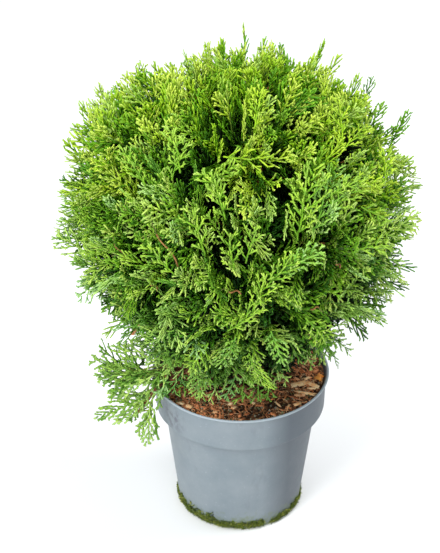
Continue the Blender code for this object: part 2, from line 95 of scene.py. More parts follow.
def addMesh(name, points, faceSets, material, smooth=False, sharpDegrees=None):
    # points is (n, 3); each face set is (m, corners), counter-clockwise seen from outside
    corners = np.concatenate([faces.ravel() for faces in faceSets]).astype(np.int32)
    sizes = np.concatenate([np.full(len(faces), faces.shape[1]) for faces in faceSets])
    starts = np.concatenate([[0], np.cumsum(sizes)[:-1]]).astype(np.int32)
    mesh = bpy.data.meshes.new(name)
    mesh.vertices.add(len(points))
    mesh.vertices.foreach_set("co", np.asarray(points, np.float32).ravel())
    mesh.loops.add(len(corners))
    mesh.loops.foreach_set("vertex_index", corners)
    mesh.polygons.add(len(sizes))
    mesh.polygons.foreach_set("loop_start", starts)
    mesh.update(calc_edges=True)
    mesh.validate()
    if smooth:
        mesh.shade_smooth()
    if sharpDegrees:
        mesh.set_sharp_from_angle(angle=math.radians(sharpDegrees))
    mesh.materials.append(material)
    piece = bpy.data.objects.new(name, mesh)
    bpy.context.scene.collection.objects.link(piece)
    return piece


def standFor(piece, slotName, *nodes):
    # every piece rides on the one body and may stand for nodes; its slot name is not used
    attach(piece, "root")
    if nodes:
        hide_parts(*nodes)
    return piece


def gridCorners(rings, steps):
    # the four corners of each face between closed rings of points: here, on the next ring, and beside both
    i, j = np.meshgrid(np.arange(rings - 1), np.arange(steps), indexing="ij")
    k = (j + 1) % steps
    return i * steps + j, (i + 1) * steps + j, (i + 1) * steps + k, i * steps + k


def turnedSurface(profile, steps):
    # profile of (radius, height) turned about Z: x = r cos a, y = r sin a; both ends lie on the axis as poles
    angles = np.arange(steps) * math.tau / steps
    ring = profile[1:-1]
    grid = np.empty((len(ring), steps, 3))
    grid[..., 0] = ring[:, :1] * np.cos(angles)
    grid[..., 1] = ring[:, :1] * np.sin(angles)
    grid[..., 2] = ring[:, 1:]
    quads = np.stack(gridCorners(len(ring), steps), -1)
    top, foot = len(ring) * steps, len(ring) * steps + 1
    j = np.arange(steps)
    k = (j + 1) % steps
    last = (len(ring) - 1) * steps
    caps = np.concatenate([
        np.stack([np.full(steps, top), j, k], -1),
        np.stack([last + j, np.full(steps, foot), last + k], -1),
    ])
    poles = np.array([[0.0, 0.0, profile[0][1]], [0.0, 0.0, profile[-1][1]]])
    return grid, poles, [quads.reshape(-1, 4), caps]


def sweepLimbs(paths, radii, sides, across):
    # tubes: ring point = path + radius (cos a * side + sin a * up), side being across made square to the path
    # paths is (count, rings, 3), radii is (count, rings) or (count, rings, sides), across is (count, 3)
    count, rings = paths.shape[:2]
    along = unit(np.gradient(paths, axis=1))
    side = unit(across[:, None] - along * np.sum(across[:, None] * along, -1, keepdims=True))
    up = np.cross(along, side)
    angles = np.arange(sides) * math.tau / sides
    if radii.ndim == 2:
        radii = radii[..., None]
    ring = side[:, :, None] * np.cos(angles)[:, None] + up[:, :, None] * np.sin(angles)[:, None]
    points = paths[:, :, None] + ring * radii[..., None]
    ends = np.stack([paths[:, 0], paths[:, -1] + along[:, -1] * radii[:, -1].mean(-1)[:, None] * 0.6], 1)
    points = np.concatenate([points.reshape(count, rings * sides, 3), ends], 1)
    here, ahead, aheadBeside, beside = gridCorners(rings, sides)
    quads = np.stack([here, beside, aheadBeside, ahead], -1).reshape(-1, 4)
    j = np.arange(sides)
    k = (j + 1) % sides
    last = (rings - 1) * sides
    caps = np.concatenate([
        np.stack([np.full(sides, rings * sides), k, j], -1),
        np.stack([np.full(sides, rings * sides + 1), last + j, last + k], -1),
    ])
    shift = (np.arange(count) * points.shape[1])[:, None, None]
    return points.reshape(-1, 3), [(quads + shift).reshape(-1, 4), (caps + shift).reshape(-1, 3)]


def bezier(starts, bendA, bendB, ends, count):
    # s^3 start + 3 s^2 t bendA + 3 s t^2 bendB + t^3 end, with s = 1 - t
    t = np.linspace(0.0, 1.0, count)[:, None]
    s = 1.0 - t
    return (starts[..., None, :] * s ** 3 + bendA[..., None, :] * 3 * s * s * t
            + bendB[..., None, :] * 3 * s * t * t + ends[..., None, :] * t ** 3)


# materials

def newMaterial(name, roughness, specular=0.5):
    # a plain shader and the object's own coordinates, to which every pattern is tied
    material = bpy.data.materials.new(name)
    material.use_nodes = True
    nodes, links = material.node_tree.nodes, material.node_tree.links
    shader = nodes["Principled BSDF"]
    shader.inputs["Roughness"].default_value = roughness
    shader.inputs["Specular IOR Level"].default_value = specular
    coordinates = nodes.new("ShaderNodeTexCoord")
    return material, nodes, links, shader, coordinates.outputs["Object"]


def noiseOf(nodes, links, places, scale, detail=2.0, roughness=0.5, stretch=None):
    # a cloudy pattern, drawn out along the axes whose stretch is small
    if stretch:
        mapping = nodes.new("ShaderNodeMapping")
        mapping.inputs["Scale"].default_value = stretch
        links.new(places, mapping.inputs["Vector"])
        places = mapping.outputs["Vector"]
    noise = nodes.new("ShaderNodeTexNoise")
    noise.inputs["Scale"].default_value = scale
    noise.inputs["Detail"].default_value = detail
    noise.inputs["Roughness"].default_value = roughness
    links.new(places, noise.inputs["Vector"])
    return noise.outputs["Fac"]


def rampOf(nodes, links, factor, stops):
    # stops is a list of (place, colour)
    ramp = nodes.new("ShaderNodeValToRGB")
    while len(ramp.color_ramp.elements) < len(stops):
        ramp.color_ramp.elements.new(0.5)
    for element, (place, colour) in zip(ramp.color_ramp.elements, stops):
        element.position = place
        element.color = colour
    links.new(factor, ramp.inputs["Fac"])
    return ramp.outputs["Color"]


def blendOf(nodes, links, factor, first, second):
    # first (1 - factor) + second factor; either may be a colour or a socket
    mix = nodes.new("ShaderNodeMix")
    mix.data_type = "RGBA"
    links.new(factor, mix.inputs["Factor"])
    for socket, value in ((mix.inputs["A"], first), (mix.inputs["B"], second)):
        if isinstance(value, tuple):
            socket.default_value = value
        else:
            links.new(value, socket)
    return mix.outputs["Result"]


def rangeOf(nodes, links, value, fromRange, toRange):
    # the value moved from one range to another, held at its ends
    move = nodes.new("ShaderNodeMapRange")
    for name, number in zip(("From Min", "From Max", "To Min", "To Max"), (*fromRange, *toRange)):
        move.inputs[name].default_value = number
    links.new(value, move.inputs["Value"])
    return move.outputs["Result"]


def productOf(nodes, links, first, second):
    product = nodes.new("ShaderNodeMath")
    product.operation = "MULTIPLY"
    links.new(first, product.inputs[0])
    links.new(second, product.inputs[1])
    return product.outputs["Value"]


def bumpOf(nodes, links, shader, height, distance):
    # relief in the shading only, as deep as the distance
    bump = nodes.new("ShaderNodeBump")
    bump.inputs["Distance"].default_value = distance
    bump.inputs["Strength"].default_value = 1.0
    links.new(height, bump.inputs["Height"])
    links.new(bump.outputs["Normal"], shader.inputs["Normal"])


def mottledMaterial(name, colours, scale, roughness, bumpScale, bumpDistance, specular=0.5, stretch=None):
    # two or three screen colours dealt by one noise, and a finer noise for the relief
    material, nodes, links, shader, places = newMaterial(name, roughness, specular)
    stops = [(0.34 + 0.32 * i / (len(colours) - 1), fromSrgb(*colour)) for i, colour in enumerate(colours)]
    pattern = noiseOf(nodes, links, places, scale, 3.0, 0.6, stretch)
    links.new(rampOf(nodes, links, pattern, stops), shader.inputs["Base Color"])
    relief = noiseOf(nodes, links, places, bumpScale, 2.0, 0.6, stretch)
    bumpOf(nodes, links, shader, relief, bumpDistance)
    return material


# pot

pot = {
    "wall": 0.0018,
    "lipBead": 0.0013,          # radius of the rolled lip
    "lipHeight": 0.0042,
    "collarTopRadius": 0.0920,
    "collarFootRadius": 0.0912,
    "collarFootZ": 0.1265,
    "collarRound": 0.0016,
    "lipRound": 0.0009,         # under the lip, and above the body where the collar steps in
    "stepRound": 0.0012,
    "bodyTopRadius": 0.0826,
    "bodyFootRadius": 0.0676,
    "footCorner": 0.0032,
    "steps": 160,
    "outOfRound": 0.0004,
    "ripple": 0.00025,
    "dentTurn": math.radians(214.0),   # where the collar was squeezed in handling
    "dentDepth": 0.0011,
    "dentWidth": math.radians(5.0),
    "drainRadius": 0.0055,
    "drainCircle": 0.048,
    "drains": 4,
    "sharpFrom": math.radians(50.0),
    "blueGrey": fromSrgb(115, 127, 134),
    "paleGrey": fromSrgb(128, 138, 144),
    "smudge": fromSrgb(86, 86, 100),
    "scuff": fromSrgb(158, 167, 172),
    # painted highlight along the top of the rolled lip
    "lipHighlight": fromSrgb(160, 172, 180),
    # painted shade in the band just under the collar's overhang
    "underCollarShade": fromSrgb(84, 92, 100),
    "stainPlace": (-0.0730, -0.0560, 0.1440),   # beside the dent
    "stainWidth": 0.024,
    "shade": fromSrgb(68, 77, 86),         # painted shade on the pot's right side, and green just above its foot
    "shadeShare": 0.85,
    "algae": fromSrgb(104, 118, 84),
    "algaeFrom": 0.030,
    "algaeHeight": 0.020,
    "algaeRagged": 0.060,
}
rimRadius = potHigh.x
potHeight = potHigh.z


def arc(middleR, middleZ, radius, fromDegrees, toDegrees, count):
    # r = middle + radius cos a, z = middle + radius sin a
    angles = np.radians(np.linspace(fromDegrees, toDegrees, count))
    return np.stack([middleR + radius * np.cos(angles), middleZ + radius * np.sin(angles)], -1)


def straight(start, end, count):
    # count points from start to end, both left out
    t = np.linspace(0.0, 1.0, count + 2)[1:-1, None]
    return np.array(start) * (1.0 - t) + np.array(end) * t


def collarRadiusAt(z):
    # the collar's outer face, a straight taper
    share = (z - pot["collarFootZ"]) / (potHeight - pot["collarFootZ"])
    return pot["collarFootRadius"] + (pot["collarTopRadius"] - pot["collarFootRadius"]) * share


def bodyRadiusAt(z):
    # the body's outer face, a straight taper from the foot to the collar
    share = z / pot["collarFootZ"]
    return pot["bodyFootRadius"] + (pot["bodyTopRadius"] - pot["bodyFootRadius"]) * share


def potProfile():
    # floor, inner wall and collar, rolled lip, outer collar, step, body, foot corner and underside
    wall, bead, rounding = pot["wall"], pot["lipBead"], pot["collarRound"]
    stepZ = pot["collarFootZ"]
    corner = pot["footCorner"]
    innerCollar = collarRadiusAt(stepZ) - wall
    innerBodyTop = pot["bodyTopRadius"] - wall
    innerFoot = bodyRadiusAt(corner) - wall
    lipMiddleR, lipMiddleZ = rimRadius - bead, potHeight - bead
    underLip = potHeight - pot["lipHeight"]
    bodyTopZ = stepZ - 0.0006
    return np.concatenate([
        [(0.0, wall)],
        straight((0.0, wall), (innerFoot - corner, wall), 5),
        arc(innerFoot - corner, wall + corner, corner, -90.0, -4.0, 6),
        straight((innerFoot, wall + corner), (innerBodyTop, stepZ + wall - rounding / 2), 24),
        [(innerBodyTop, stepZ + wall - rounding / 2)],
        arc(innerBodyTop + rounding * 0.8, stepZ + wall - rounding, rounding, 150.0, 90.0, 4),
        arc(innerCollar - rounding, stepZ + wall + rounding, rounding, -90.0, 0.0, 5),
        straight((innerCollar, stepZ + wall + rounding), (collarRadiusAt(underLip) - wall, underLip), 14),
        arc(lipMiddleR, lipMiddleZ, bead, 165.0, -35.0, 14),
        arc(collarRadiusAt(underLip) + pot["lipRound"], underLip - 0.0004, pot["lipRound"], 120.0, 180.0, 4),
        straight((collarRadiusAt(underLip - 0.001), underLip - 0.001),
                 (pot["collarFootRadius"], stepZ + rounding), 22),
        arc(pot["collarFootRadius"] - rounding, stepZ + rounding, rounding, 0.0, -90.0, 6),
        straight((pot["collarFootRadius"] - rounding, stepZ),
                 (pot["bodyTopRadius"] + 0.0010, stepZ - 0.0002), 3),
        arc(pot["bodyTopRadius"] + 0.0011, bodyTopZ - 0.0007, pot["stepRound"], 100.0, 176.0, 5),
        straight((bodyRadiusAt(bodyTopZ - 0.001), bodyTopZ - 0.001), (bodyRadiusAt(corner), corner), 34),
        arc(bodyRadiusAt(corner) - corner, corner, corner, 0.0, -90.0, 8),
        straight((bodyRadiusAt(corner) - corner, 0.0), (0.0, 0.0), 6),
        [(0.0, 0.0)],
    ])


def buildPotMaterial():
    # mottled grey, then streaks of smudge and specks of scuff
    material, nodes, links, shader, places = newMaterial("potPlastic", 0.46, 0.45)
    mottle = rampOf(nodes, links, noiseOf(nodes, links, places, 26.0, 5.0, 0.62),
                    [(0.32, pot["blueGrey"]), (0.68, pot["paleGrey"])])
    streaks = rampOf(nodes, links, noiseOf(nodes, links, places, 34.0, 4.0, 0.6, (1.0, 1.0, 0.35)),
                     [(0.60, (0, 0, 0, 1)), (0.78, (0.55, 0.55, 0.55, 1))])
    smudged = blendOf(nodes, links, streaks, mottle, pot["smudge"])
    specks = rampOf(nodes, links, noiseOf(nodes, links, places, 420.0, 2.0, 0.5),
                    [(0.66, (0, 0, 0, 1)), (0.74, (0.35, 0.35, 0.35, 1))])
    scuffed = blendOf(nodes, links, specks, smudged, pot["scuff"])

    # the stain beside the dent: nearness to its place, broken up by noise
    apart = nodes.new("ShaderNodeVectorMath")
    apart.operation = "DISTANCE"
    apart.inputs[1].default_value = pot["stainPlace"]
    links.new(places, apart.inputs[0])
    width = pot["stainWidth"]
    near = rangeOf(nodes, links, apart.outputs["Value"], (width, width * 0.3), (0.0, 1.0))
    blots = rangeOf(nodes, links, noiseOf(nodes, links, places, 120.0, 4.0, 0.6), (0.46, 0.60), (0.0, 0.75))
    stained = blendOf(nodes, links, productOf(nodes, links, near, blots), scuffed, pot["smudge"])

    # a painted highlight on the lip, a painted shade line under the collar where it meets the body, painted
    # shade towards the right, green above the foot
    height = nodes.new("ShaderNodeSeparateXYZ")
    links.new(places, height.inputs["Vector"])
    foot = pot["collarFootZ"]
    # painted shade: a darker band just under the collar's foot, where the overhang casts its shadow
    under = rangeOf(nodes, links, height.outputs["Z"], (foot - 0.0055, foot - 0.0030), (0.0, 0.7))
    over = rangeOf(nodes, links, height.outputs["Z"], (foot - 0.0002, foot + 0.0008), (1.0, 0.0))
    collarShaded = blendOf(nodes, links, productOf(nodes, links, under, over), stained, pot["underCollarShade"])
    # painted shade: the colour darkens towards the pot's right side, the side turned from the light
    rightShadeFrom, rightShadeTo = pot["bodyFootRadius"] * 0.35, pot["bodyFootRadius"] * 0.75
    rightShade = rangeOf(nodes, links, height.outputs["X"], (rightShadeFrom, rightShadeTo), (0.0, pot["shadeShare"]))
    rightShaded = blendOf(nodes, links, rightShade, collarShaded, pot["shade"])
    # painted highlight: the top of the lip is blended towards a paler grey
    lip = rangeOf(nodes, links, height.outputs["Z"], (potHeight - 0.0034, potHeight - 0.0016), (0.0, 0.85))
    lipHighlighted = blendOf(nodes, links, lip, rightShaded, pot["lipHighlight"])
    ragged = nodes.new("ShaderNodeMath")
    ragged.operation = "MULTIPLY_ADD"
    ragged.inputs[1].default_value = pot["algaeRagged"]
    links.new(noiseOf(nodes, links, places, 150.0, 4.0, 0.65), ragged.inputs[0])
    links.new(height.outputs["Z"], ragged.inputs[2])
    algae = rangeOf(nodes, links, ragged.outputs["Value"],
                    (pot["algaeFrom"], pot["algaeFrom"] + pot["algaeHeight"]), (0.85, 0.0))
    links.new(blendOf(nodes, links, algae, lipHighlighted, pot["algae"]), shader.inputs["Base Color"])

    gloss = nodes.new("ShaderNodeMapRange")
    gloss.inputs["To Min"].default_value = 0.38
    gloss.inputs["To Max"].default_value = 0.56
    links.new(noiseOf(nodes, links, places, 90.0, 3.0, 0.6), gloss.inputs["Value"])
    links.new(gloss.outputs["Result"], shader.inputs["Roughness"])
    bumpOf(nodes, links, shader, noiseOf(nodes, links, places, 300.0, 3.0, 0.6), 0.00012)
    return material


def buildPot():
    profile = potProfile()
    grid, poles, faces = turnedSurface(profile, pot["steps"])
    # out of round: r grows by a cos(2 a) and a little noise, more towards the rim; the dent is a soft furrow
    angles = np.arctan2(grid[..., 1], grid[..., 0])
    rise = np.clip(grid[..., 2] / potHeight, 0.0, 1.0)
    inward = pot["outOfRound"] * rise * np.cos(2.0 * angles + 0.7)
    inward += pot["ripple"] * rise * softNoise(grid, 0.045, 3)
    turn = (angles - pot["dentTurn"] + math.pi) % math.tau - math.pi
    lean = turn + (grid[..., 2] - pot["collarFootZ"]) * 2.2
    onCollar = np.clip((grid[..., 2] - pot["collarFootZ"] + 0.004) / 0.008, 0.0, 1.0)
    onCollar *= np.clip((potHeight - 0.006 - grid[..., 2]) / 0.010, 0.0, 1.0)
    inward += pot["dentDepth"] * onCollar * np.exp(-(lean / pot["dentWidth"]) ** 2)
    radius = np.hypot(grid[..., 0], grid[..., 1])
    keep = np.where(radius > 0.03, 1.0 - inward / radius, 1.0)
    grid[..., :2] *= keep[..., None]
    points = np.concatenate([grid.reshape(-1, 3), poles])
    piece = addMesh("potShell", points, faces, buildPotMaterial(), smooth=True)
    for i in range(pot["drains"]):
        angle = math.tau * (i + 0.5) / pot["drains"]
        bpy.ops.mesh.primitive_cylinder_add(vertices=32, radius=pot["drainRadius"], depth=pot["wall"] * 4)
        cutter = bpy.context.object
        cutter.location = (pot["drainCircle"] * math.cos(angle), pot["drainCircle"] * math.sin(angle), 0.0)
        cut = piece.modifiers.new("drain", "BOOLEAN")
        cut.operation = "DIFFERENCE"
        cut.object = cutter
        bpy.context.view_layer.update()
        drilled = bpy.data.meshes.new_from_object(piece.evaluated_get(bpy.context.evaluated_depsgraph_get()))
        piece.modifiers.clear()
        piece.data = drilled
        bpy.data.objects.remove(cutter, do_unlink=True)
    piece.data.shade_smooth()
    piece.data.set_sharp_from_angle(angle=pot["sharpFrom"])
    return standFor(piece, "pot", "pot")


buildPot()
print("pot turned")


# soil: a bed of bark compost with shreds, chips and crumbs on it

soil = {
    "edgeZ": 0.1545,
    "steps": 150,
    "rings": 60,
    "lump": 0.0016,             # height of the lumps, then the size, share and seed of each kind
    "lumps": ((0.011, 0.7, 5), (0.0042, 0.4, 6), (0.0018, 0.2, 7)),
    "lumpFade": 0.004,          # how far from the wall they die away
    "underTop": 0.0008,         # how far the dome's top lies under the soil solid's
    "heap": 0.0065,             # how much higher the bed lies at its right edge
    "clearance": 0.0003,
    "crust": ((34, 23, 15), (84, 56, 36), (138, 96, 64)),
}
soilRadius = collarRadiusAt(soil["edgeZ"]) - pot["wall"] - soil["clearance"]


def soilHeight(x, y):
    # a low dome, edge + rise * (1 - r^2 / R^2), heaped by (x / R)^1.5 to the right, with lumps of three sizes
    away = np.hypot(x, y)
    rise = soilHigh.z - soil["edgeZ"] - soil["underTop"]
    dome = soil["edgeZ"] + rise * np.clip(1.0 - (away / soilRadius) ** 2, 0.0, 1.0)
    dome = dome + soil["heap"] * np.clip(x / soilRadius, 0.0, 1.0) ** 1.5
    flat = np.stack([x, y, np.zeros_like(x)], -1)
    lumps = sum(softNoise(flat, size, seed) * share for size, share, seed in soil["lumps"])
    quiet = np.clip((soilRadius - away) / soil["lumpFade"], 0.0, 1.0)
    return dome + soil["lump"] * lumps * quiet


def buildSoilBed():
    # the heaped top turned from edge to middle, and a plug that follows the pot's inside down to its floor
    radii = soilRadius * np.linspace(0.0, 1.0, soil["rings"]) ** 0.85
    top = np.stack([radii, np.full(len(radii), soil["edgeZ"])], -1)
    gap = pot["wall"] + soil["clearance"]
    stepZ = pot["collarFootZ"] + gap
    side = np.array([
        (pot["collarFootRadius"] - gap, stepZ + 0.002),
        (pot["collarFootRadius"] - gap - 0.0016, stepZ + 0.0004),
        (pot["bodyTopRadius"] - gap - 0.0002, stepZ - 0.0004),
        (pot["bodyFootRadius"] - gap, gap + 0.0036),
        (pot["bodyFootRadius"] - gap - 0.004, gap + 0.0002),
        (0.0, gap + 0.0002),
    ])
    grid, poles, faces = turnedSurface(np.concatenate([top, side]), soil["steps"])
    rings = soil["rings"] - 1
    grid[:rings, :, 2] = soilHeight(grid[:rings, :, 0], grid[:rings, :, 1])
    poles[0, 2] = soilHeight(np.zeros(1), np.zeros(1))[0]
    points = np.concatenate([grid.reshape(-1, 3), poles])
    material = mottledMaterial("compostCrust", soil["crust"], 190.0, 0.95, 620.0, 0.0009, 0.2)
    return standFor(addMesh("compostBed", points, faces, material, smooth=True), "soil", "soil")


litter = {
    # name: (count, shortest, longest, width, thickness, colours, seed)
    "rustFibres": (520, 0.007, 0.020, 0.0011, 0.0006,
                   ((168, 92, 52), (222, 142, 92), (240, 182, 132)), 21),
    "brownFibres": (420, 0.006, 0.017, 0.0013, 0.0007,
                    ((88, 56, 32), (146, 100, 62), (188, 138, 96)), 22),
    "strawFibres": (150, 0.008, 0.024, 0.0009, 0.0005,
                    ((186, 142, 98), (224, 186, 142), (238, 210, 170)), 23),
}

fibre = {
    "taper": (0.45, 0.85, 1.0, 1.0, 0.8, 0.4),     # share of the width at each point along a fibre
    "lies": (0.0002, 0.0016),   # how far above the bed
}

crumbs = {
    # name: (count, smallest, largest, colours, seed)
    "darkCrumbs": (1100, 0.0008, 0.0024, ((34, 24, 16), (62, 44, 30)), 31),
    "brownCrumbs": (700, 0.0009, 0.0026, ((96, 62, 40), (134, 92, 64)), 32),
    "oliveCrumbs": (260, 0.0010, 0.0026, ((92, 94, 60), (128, 126, 92)), 33),
    "greyCrumbs": (420, 0.0008, 0.0021, ((112, 112, 96), (158, 156, 138)), 34),
}

chips = {
    # name: (count, shortest, longest, share of the width, thickness, colours, seed)
    "rustChips": (150, 0.004, 0.010, 0.42, 0.0011, ((182, 104, 60), (236, 160, 108)), 41),
    "tanChips": (70, 0.004, 0.011, 0.40, 0.0012, ((224, 158, 106), (250, 204, 154)), 42),
    "orangeChips": (34, 0.003, 0.008, 0.45, 0.0012, ((196, 112, 52), (224, 150, 84)), 43),
}

bareSoil = {
    # where dark soil shows: the share of shreds and chips that lies elsewhere, and the bare places' bounds
    "share": 0.6,
    "right": 0.022,
    "rightFront": -0.046,
    "strip": -0.020,
    "stripFront": -0.053,
    "stripShift": 0.032,
    "edge": 0.0012,             # nothing lies nearer than this to the wall
}

# chips that lie in one place: x, y, turn in degrees, length, width
paleChips = {
    "places": (
        (0.064, -0.036, -26.0, 0.030, 0.0036), (0.061, -0.022, 22.0, 0.019, 0.0078),
        (0.075, -0.024, -38.0, 0.017, 0.0044), (0.075, -0.030, -11.0, 0.010, 0.0030),
        (0.071, -0.014, 30.0, 0.006, 0.0040), (0.058, -0.056, 22.0, 0.008, 0.0042),
        (-0.010, -0.051, 66.0, 0.011, 0.0040), (-0.007, -0.059, 38.0, 0.008, 0.0032),
        (0.012, -0.051, -62.0, 0.010, 0.0034), (0.038, -0.056, -58.0, 0.011, 0.0016),
        (-0.063, -0.050, -36.0, 0.009, 0.0048), (-0.054, -0.057, -40.0, 0.009, 0.0050),
    ),
    "seed": 44,
    "thickness": 0.0016,
    "lies": 0.0018,
    "colours": ((255, 188, 124), (255, 230, 182)),
    "leaf": ((0.084, -0.011, 44.0, 0.010, 0.0060), (0.084, -0.011, -84.0, 0.014, 0.0034)),
    "leafColours": ((222, 122, 40), (250, 176, 84)),
}


def scatterOnSoil(count, rng, inner=0.0, outer=0.97, bare=0.0):
    # even over the disc, r = R sqrt(u), but a share of those at the front right is moved over to the left,
    # and a share of those along the front inwards
    away = soilRadius * np.sqrt(rng.uniform(inner, outer ** 2, count))
    angle = rng.uniform(0.0, math.tau, count)
    x, y = away * np.cos(angle), away * np.sin(angle)
    moved = rng.uniform(0.0, 1.0, count) < bare
    atFront = (x > bareSoil["strip"]) & (x <= bareSoil["right"]) & (y < bareSoil["stripFront"])
    y = np.where(atFront & moved, y + bareSoil["stripShift"], y)
    x = np.where((x > bareSoil["right"]) & (y < bareSoil["rightFront"]) & moved, -x, x)
    return np.stack([x, y, soilHeight(x, y)], -1)


def insidePot(points):
    # pulls a point back to the bed's edge where it would pass through the pot's wall
    away = np.hypot(points[..., 0], points[..., 1])
    limit = soilRadius - bareSoil["edge"]
    points[..., :2] *= np.minimum(1.0, limit / np.maximum(away, 1e-9))[..., None]
    return points


def buildFibres(name, values):
    # each fibre is a curve that lies on the bed: place + way * s + side * bend * s^2
    count, shortest, longest, width, thickness, colours, seed = values
    rng = np.random.default_rng(seed)
    middle = scatterOnSoil(count, rng, 0.22, bare=bareSoil["share"])
    turn = rng.uniform(0.0, math.tau, count)
    way = levelWays(turn)
    side = np.stack([-np.sin(turn), np.cos(turn), np.zeros(count)], -1)
    length = rng.uniform(shortest, longest, count)
    bend = rng.uniform(-0.45, 0.45, count)
    taper = np.array(fibre["taper"])
    s = np.linspace(-0.5, 0.5, len(taper))
    paths = middle[:, None] + way[:, None] * (length[:, None] * s)[..., None]
    paths += side[:, None] * (length[:, None] * bend[:, None] * 4.0 * s ** 2)[..., None]
    paths = insidePot(paths)
    paths[..., 2] = soilHeight(paths[..., 0], paths[..., 1]) + rng.uniform(*fibre["lies"], (count, 1))
    paths[..., 2] += length[:, None] * rng.uniform(-0.10, 0.10, (count, 1)) * s
    radii = np.empty((count, len(taper), 4))
    radii[..., 0::2] = (width * rng.uniform(0.35, 0.75, (count, 1)) * taper)[..., None]
    radii[..., 1::2] = (thickness * rng.uniform(0.35, 0.7, (count, 1)) * taper)[..., None]
    points, faces = sweepLimbs(paths, radii, 4, side)
    material = mottledMaterial(name + "Bark", colours, 260.0, 0.85, 900.0, 0.0003, 0.3)
    return standFor(addMesh(name, points, faces, material), "soil")


def slabs(places, ways, sides, lengths, widths, thicknesses, rng):
    # splintered slabs: eight corners (+-l/2, +-w/2, +-t/2), each shifted by chance, ends drawn to a slant
    signs = np.array([(a, b, c) for a in (-1, 1) for b in (-1, 1) for c in (-1, 1)], float)
    count = len(places)
    shape = np.broadcast_to(signs, (count, 8, 3)) * 0.5
    shape = shape * (1.0 + rng.uniform(-0.35, 0.15, (count, 8, 3)))
    shape = shape * np.stack([lengths, widths, thicknesses], -1)[:, None]
    ups = np.cross(ways, sides)
    turned = shape[..., :1] * ways[:, None] + shape[..., 1:2] * sides[:, None] + shape[..., 2:] * ups[:, None]
    points = places[:, None] + turned
    quads = np.array([(0, 1, 3, 2), (4, 6, 7, 5), (0, 4, 5, 1), (2, 3, 7, 6), (0, 2, 6, 4), (1, 5, 7, 3)])
    faces = quads[None] + (np.arange(count) * 8)[:, None, None]
    return points.reshape(-1, 3), [faces.reshape(-1, 4)]


def tiltedWays(turn, tilt, roll):
    # way = (cos a cos t, sin a cos t, sin t); side is level, then rolled about the way
    way = np.stack([np.cos(turn) * np.cos(tilt), np.sin(turn) * np.cos(tilt), np.sin(tilt)], -1)
    level = np.stack([-np.sin(turn), np.cos(turn), np.zeros_like(turn)], -1)
    up = np.cross(way, level)
    side = level * np.cos(roll)[:, None] + up * np.sin(roll)[:, None]
    return way, side


def buildChips(name, values):
    # flat slabs scattered by chance, tilted a little and rolled
    count, shortest, longest, widthShare, thickness, colours, seed = values
    rng = np.random.default_rng(seed)
    places = insidePot(scatterOnSoil(count, rng, 0.22, 0.93, bareSoil["share"]))
    lengths = rng.uniform(shortest, longest, count)
    way, side = tiltedWays(rng.uniform(0.0, math.tau, count), rng.normal(0.0, 0.16, count),
                           rng.normal(0.0, 0.25, count))
    places[:, 2] += thickness * 0.5 + 0.0005
    widths = lengths * widthShare * rng.uniform(0.6, 1.2, count)
    points, faces = slabs(places, way, side, lengths, widths, thickness * rng.uniform(0.6, 1.2, count), rng)
    material = mottledMaterial(name + "Wood", colours, 240.0, 0.8, 700.0, 0.0003, 0.3)
    return standFor(addMesh(name, points, faces, material), "soil")


def buildPlacedChips(name, rows, colours):
    # the same slabs, each in its own place
    rng = np.random.default_rng(paleChips["seed"])
    x, y, degrees, lengths, widths = np.array(rows).T
    places = np.stack([x, y, soilHeight(x, y) + paleChips["lies"]], -1)
    way, side = tiltedWays(np.radians(degrees), rng.normal(0.0, 0.07, len(x)), rng.normal(0.0, 0.2, len(x)))
    thicknesses = np.full(len(x), paleChips["thickness"])
    points, faces = slabs(places, way, side, lengths, widths, thicknesses, rng)
    material = mottledMaterial(name + "Wood", colours, 180.0, 0.75, 600.0, 0.0003, 0.3)
    return standFor(addMesh(name, points, faces, material), "soil")


def buildCrumbs(name, values):
    # crumbs are octahedra with each corner pushed in or out by chance
    count, smallest, largest, colours, seed = values
    rng = np.random.default_rng(seed)
    places = insidePot(scatterOnSoil(count, rng))
    size = smallest + (largest - smallest) * rng.uniform(0.0, 1.0, count) ** 2
    corners = np.array([(1, 0, 0), (-1, 0, 0), (0, 1, 0), (0, -1, 0), (0, 0, 1), (0, 0, -1)], float)
    turn, _ = np.linalg.qr(rng.normal(size=(count, 3, 3)))
    turn *= np.sign(np.linalg.det(turn))[:, None, None]
    shape = corners * rng.uniform(0.6, 1.2, (count, 6, 1))
    points = places[:, None] + np.einsum("nij,nkj->nki", turn, shape) * size[:, None, None]
    points[..., 2] += size[:, None] * 0.35
    triangles = np.array([(0, 2, 4), (2, 1, 4), (1, 3, 4), (3, 0, 4),
                          (2, 0, 5), (1, 2, 5), (3, 1, 5), (0, 3, 5)])
    faces = triangles[None] + (np.arange(count) * 6)[:, None, None]
    material = mottledMaterial(name + "Earth", colours, 300.0, 0.95, 900.0, 0.0003, 0.2)
    return standFor(addMesh(name, points.reshape(-1, 3), [faces.reshape(-1, 3)], material), "soil")


buildSoilBed()
for litterName, litterValues in litter.items():
    buildFibres(litterName, litterValues)
for chipName, chipValues in chips.items():
    buildChips(chipName, chipValues)
for crumbName, crumbValues in crumbs.items():
    buildCrumbs(crumbName, crumbValues)
buildPlacedChips("paleChips", paleChips["places"], paleChips["colours"])
buildPlacedChips("fallenLeaf", paleChips["leaf"], paleChips["leafColours"])
print("soil laid")


# trunk, masses and boughs, laid out by the same rule as the solids

limbs = {
    "seed": 41,
    "clearance": 0.0003,
    "soilCrownZ": 0.1585,
    "trunkTopZ": 0.455,
    "trunkFoot": 0.0088,
    "trunkTip": 0.0026,
    "flare": 0.0050,
    "flareHeight": 0.0080,
    "lean": Vector((-0.012, 0.006, 0.0)),
    "bow": 0.004,
    "boughLowZ": 0.176,
    "boughHighZ": 0.425,
    "boughFoot": 0.0040,
    "boughTip": 0.0019,
    "boughPoints": 5,
    "slide": 0.003,
    "sweep": 0.35,
    "sampleStep": 0.002,
    "boughMargin": 0.0012,
    "coreRadius": 0.0420,
    "lowCoreRadius": 0.0160,
    "stemShows": 0.012,
}

